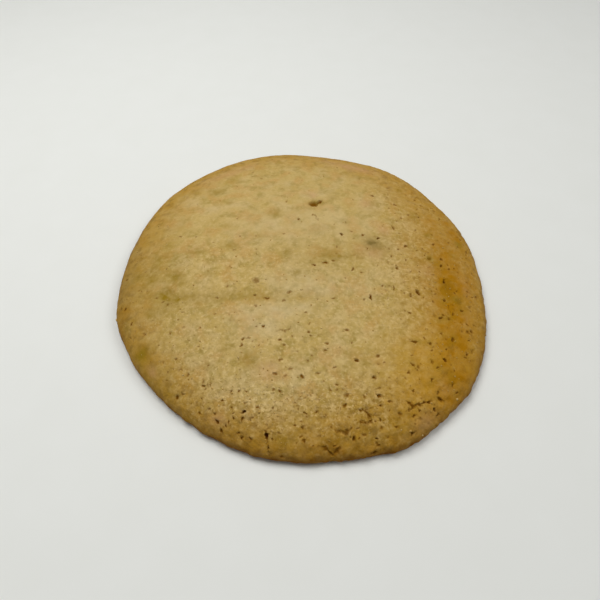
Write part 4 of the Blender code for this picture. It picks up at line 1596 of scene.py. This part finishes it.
def grain_mesh(shape: GrainShape, seed: int) -> bpy.types.Mesh:
    """Make one grain, one metre across, to be scaled where it is laid.

    Args:
        shape: crystal or crumb.
        seed: picks how it is dented.

    Returns:
        The mesh, with a few dozen faces.
    """
    grain = bmesh.new()
    if shape is GrainShape.CRYSTAL:
        side, worn, dent, dent_length = 0.9, 0.16, 0.06, 0.8
        bmesh.ops.create_cube(grain, size=side)
        bmesh.ops.bevel(grain, geom=grain.edges[:], offset=worn, segments=1, affect="EDGES")
    else:
        radius, dent, dent_length = 0.5, 0.30, 0.42
        bmesh.ops.create_icosphere(grain, subdivisions=2, radius=radius)
    for vert in grain.verts:
        vert.co += dent * noise.noise_vector(vert.co / dent_length + Vector((seed, 0.0, 0.0)))
    bmesh.ops.triangulate(grain, faces=grain.faces)
    bmesh.ops.recalc_face_normals(grain, faces=grain.faces)
    mesh = bpy.data.meshes.new(shape.value)
    grain.to_mesh(mesh)
    grain.free()
    return mesh


@dataclass
class StuckGrains:
    """Small grains of one kind that stick to the crust: the ones that show, and a fine scatter."""

    name: str
    shape: GrainShape
    finish: PlainFinish
    named: tuple[tuple[float, float, float], ...]    # x, y and size of each one that shows
    count: int
    smallest: float
    largest: float
    least_side: tuple[float, float, float]           # as a share of the size
    largest_turn: tuple[float, float, float]         # in radians
    seed: int
    crowding: float = 1.0
    dome: Dome = Dome()

    def places(self) -> list[tuple[float, float, float]]:
        """Draw the scatter and join it to the named grains.

        Returns:
            The place in the plan and the size of every grain.
        """
        dice = np.random.default_rng(self.seed)
        scatter = FinePores().places(self.dome, dice, self.crowding)
        fine = []
        for _ in range(self.count):
            size = self.smallest + (self.largest - self.smallest) * dice.random() ** 2
            fine.append((*next(scatter), size))
        return [*self.named, *fine]

    def build(self, crust: bpy.types.Object) -> bpy.types.Object:
        """Lay the grains on the crust.

        Args:
            crust: the finished crust.

        Returns:
            The finished piece, all its grains in one mesh.
        """
        skin = BVHTree.FromObject(crust, bpy.context.evaluated_depsgraph_get())
        middle = np.array((*self.dome.middle, 0.0))
        places = self.places()
        above = [Vector((self.dome.over(x, y) - middle) * MM) for x, y, _ in places]
        found = [skin.find_nearest(spot) for spot in above]
        mesh = bpy.data.meshes.new("places")
        mesh.from_pydata([spot for spot, _, _, _ in found], [], [])
        sizes = [size * MM for _, _, size in places]
        mesh.attributes.new("size", "FLOAT", "POINT").data.foreach_set("value", sizes)
        lies = np.array([lie for _, lie, _, _ in found])
        mesh.attributes.new("lie", "FLOAT_VECTOR", "POINT").data.foreach_set("vector", lies.ravel())
        grain = piece_of("grain", grain_mesh(self.shape, self.seed))
        values = {
            "Grain": grain,
            "Least side": self.least_side,
            "Largest turn": self.largest_turn,
            "Seed": self.seed,
            "Material": self.finish.material(),
        }
        piece = strewn_grains().use(piece_of("places", mesh), self.name, values)
        bpy.data.objects.remove(grain)
        return piece


SUGAR_CRYSTALS = StuckGrains(
    name="sugar_crystals",
    shape=GrainShape.CRYSTAL,
    finish=SUGAR,
    named=(
        (-7.2, -7.5, 0.40), (0.1, -10.1, 0.45), (-7.9, -18.1, 0.35), (3.9, -19.3, 0.35),
        (7.3, -23.3, 0.35), (-8.8, -23.2, 0.35), (-11.7, -25.3, 0.45), (-22.0, -27.9, 0.38),
        (-24.7, 17.6, 0.32), (29.0, -31.6, 0.50), (21.7, -38.3, 0.40), (-14.8, -33.9, 0.38),
    ),
    count=100,
    smallest=0.14,
    largest=0.28,
    least_side=(0.7, 0.7, 0.7),
    largest_turn=(1.2, 1.2, 6.28),
    seed=11,
)

STUCK_CRUMBS = StuckGrains(
    name="stuck_crumbs",
    shape=GrainShape.CRUMB,
    finish=CRUMB,
    named=(
        (-38.7, -12.8, 0.80), (38.3, -16.4, 0.60), (19.2, -38.1, 0.70), (-10.6, -35.3, 0.35),
        (-7.4, -35.5, 0.55), (23.6, -33.1, 0.60),
    ),
    count=420,
    smallest=0.18,
    largest=0.46,
    least_side=(0.6, 0.6, 0.45),
    largest_turn=(0.4, 0.4, 6.28),
    seed=5,
    crowding=1.6,
)


# ---------------------------------------------------------------------------------------------------
# The studio
# ---------------------------------------------------------------------------------------------------


@dataclass(frozen=True)
class SoftBox:
    """A square soft light that faces the cookie."""

    name: str
    bearing: float
    elevation: float
    distance: float
    side: float
    watts: float
    colour: str = "#FFFFFF"

    def build(self) -> None:
        """Hang the light."""
        light = bpy.data.lights.new(self.name, "AREA")
        light.shape = "SQUARE"
        light.size = self.side * MM
        light.energy = self.watts
        light.color = linear(self.colour)[:3]
        lamp = bpy.data.objects.new(self.name, light)
        turn, rise = np.radians((self.bearing, self.elevation))
        away = Vector((np.cos(turn) * np.cos(rise), np.sin(turn) * np.cos(rise), np.sin(rise)))
        lamp.location = away * self.distance * MM
        lamp.rotation_euler = away.to_track_quat("Z", "Y").to_euler()
        bpy.context.scene.collection.objects.link(lamp)


@dataclass(frozen=True)
class Studio:
    """Paper table, soft light, pale surroundings and the camera."""

    lens: float = 30.6
    sensor: float = 36.0
    camera_place: tuple[float, float, float] = (-0.21, -75.32, 88.75)
    look_down: float = 52.0        # below the horizon
    table: float = 4000.0          # side of the paper
    air: str = "#F4F5F6"
    air_strength: float = 0.187
    lights: tuple[SoftBox, ...] = (
        SoftBox("ceiling", bearing=140.0, elevation=70.0, distance=330.0, side=210.0, watts=0.72),
        SoftBox("window", bearing=5.0, elevation=49.0, distance=900.0, side=430.0, watts=2.35),
        SoftBox("side wall", bearing=185.0, elevation=55.0, distance=500.0, side=300.0, watts=0.12),
    )

    def build(self) -> None:
        """Set the table, the lights, the air and the camera."""
        self.build_table()
        for light in self.lights:
            light.build()
        self.build_air()
        self.build_camera()

    def build_table(self) -> None:
        """Lay the paper, level with the cookie's base."""
        half = self.table / 2.0 * MM
        mesh = bpy.data.meshes.new("table")
        corners = [(-half, -half, 0.0), (half, -half, 0.0), (half, half, 0.0), (-half, half, 0.0)]
        mesh.from_pydata(corners, [], [(0, 1, 2, 3)])
        mesh.materials.append(PAPER.material())
        piece_of("table", mesh)

    def build_air(self) -> None:
        """Fill the room with even, pale light."""
        world = bpy.data.worlds.new("pale studio")
        world.use_nodes = True
        background = world.node_tree.nodes["Background"]
        background.inputs["Color"].default_value = linear(self.air)
        background.inputs["Strength"].default_value = self.air_strength
        bpy.context.scene.world = world
        bpy.context.scene.view_settings.view_transform = "Standard"

    def build_camera(self) -> None:
        """Set up the camera."""
        camera = bpy.data.cameras.new("camera")
        camera.lens = self.lens
        camera.sensor_width = self.sensor
        camera.clip_start = 1.0 * MM
        viewer = bpy.data.objects.new("camera", camera)
        viewer.location = Vector(self.camera_place) * MM
        viewer.rotation_euler = (np.radians(90.0 - self.look_down), 0.0, 0.0)
        bpy.context.scene.collection.objects.link(viewer)
        bpy.context.scene.camera = viewer


# ---------------------------------------------------------------------------------------------------
# Build
# ---------------------------------------------------------------------------------------------------


def report(piece: bpy.types.Object) -> None:
    """Log a finished piece and its size."""
    piece.data.calc_loop_triangles()
    size = " x ".join(f"{side / MM:.1f}" for side in piece.dimensions)
    log.info("%s: %d triangles, %s mm", piece.name, len(piece.data.loop_triangles), size)


def main() -> None:
    """Build the cookie and its studio."""
    logging.basicConfig(level=logging.INFO, format="%(name)s: %(message)s")
    noise.seed_set(NOISE_SEED)
    crust = Crust().build()
    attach(crust, BODY)
    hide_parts(NODE)
    report(crust)
    for grains in (SUGAR_CRYSTALS, STUCK_CRUMBS):
        piece = grains.build(crust)
        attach(piece, BODY)
        report(piece)
    Studio().build()


if __name__ == "__main__":
    main()
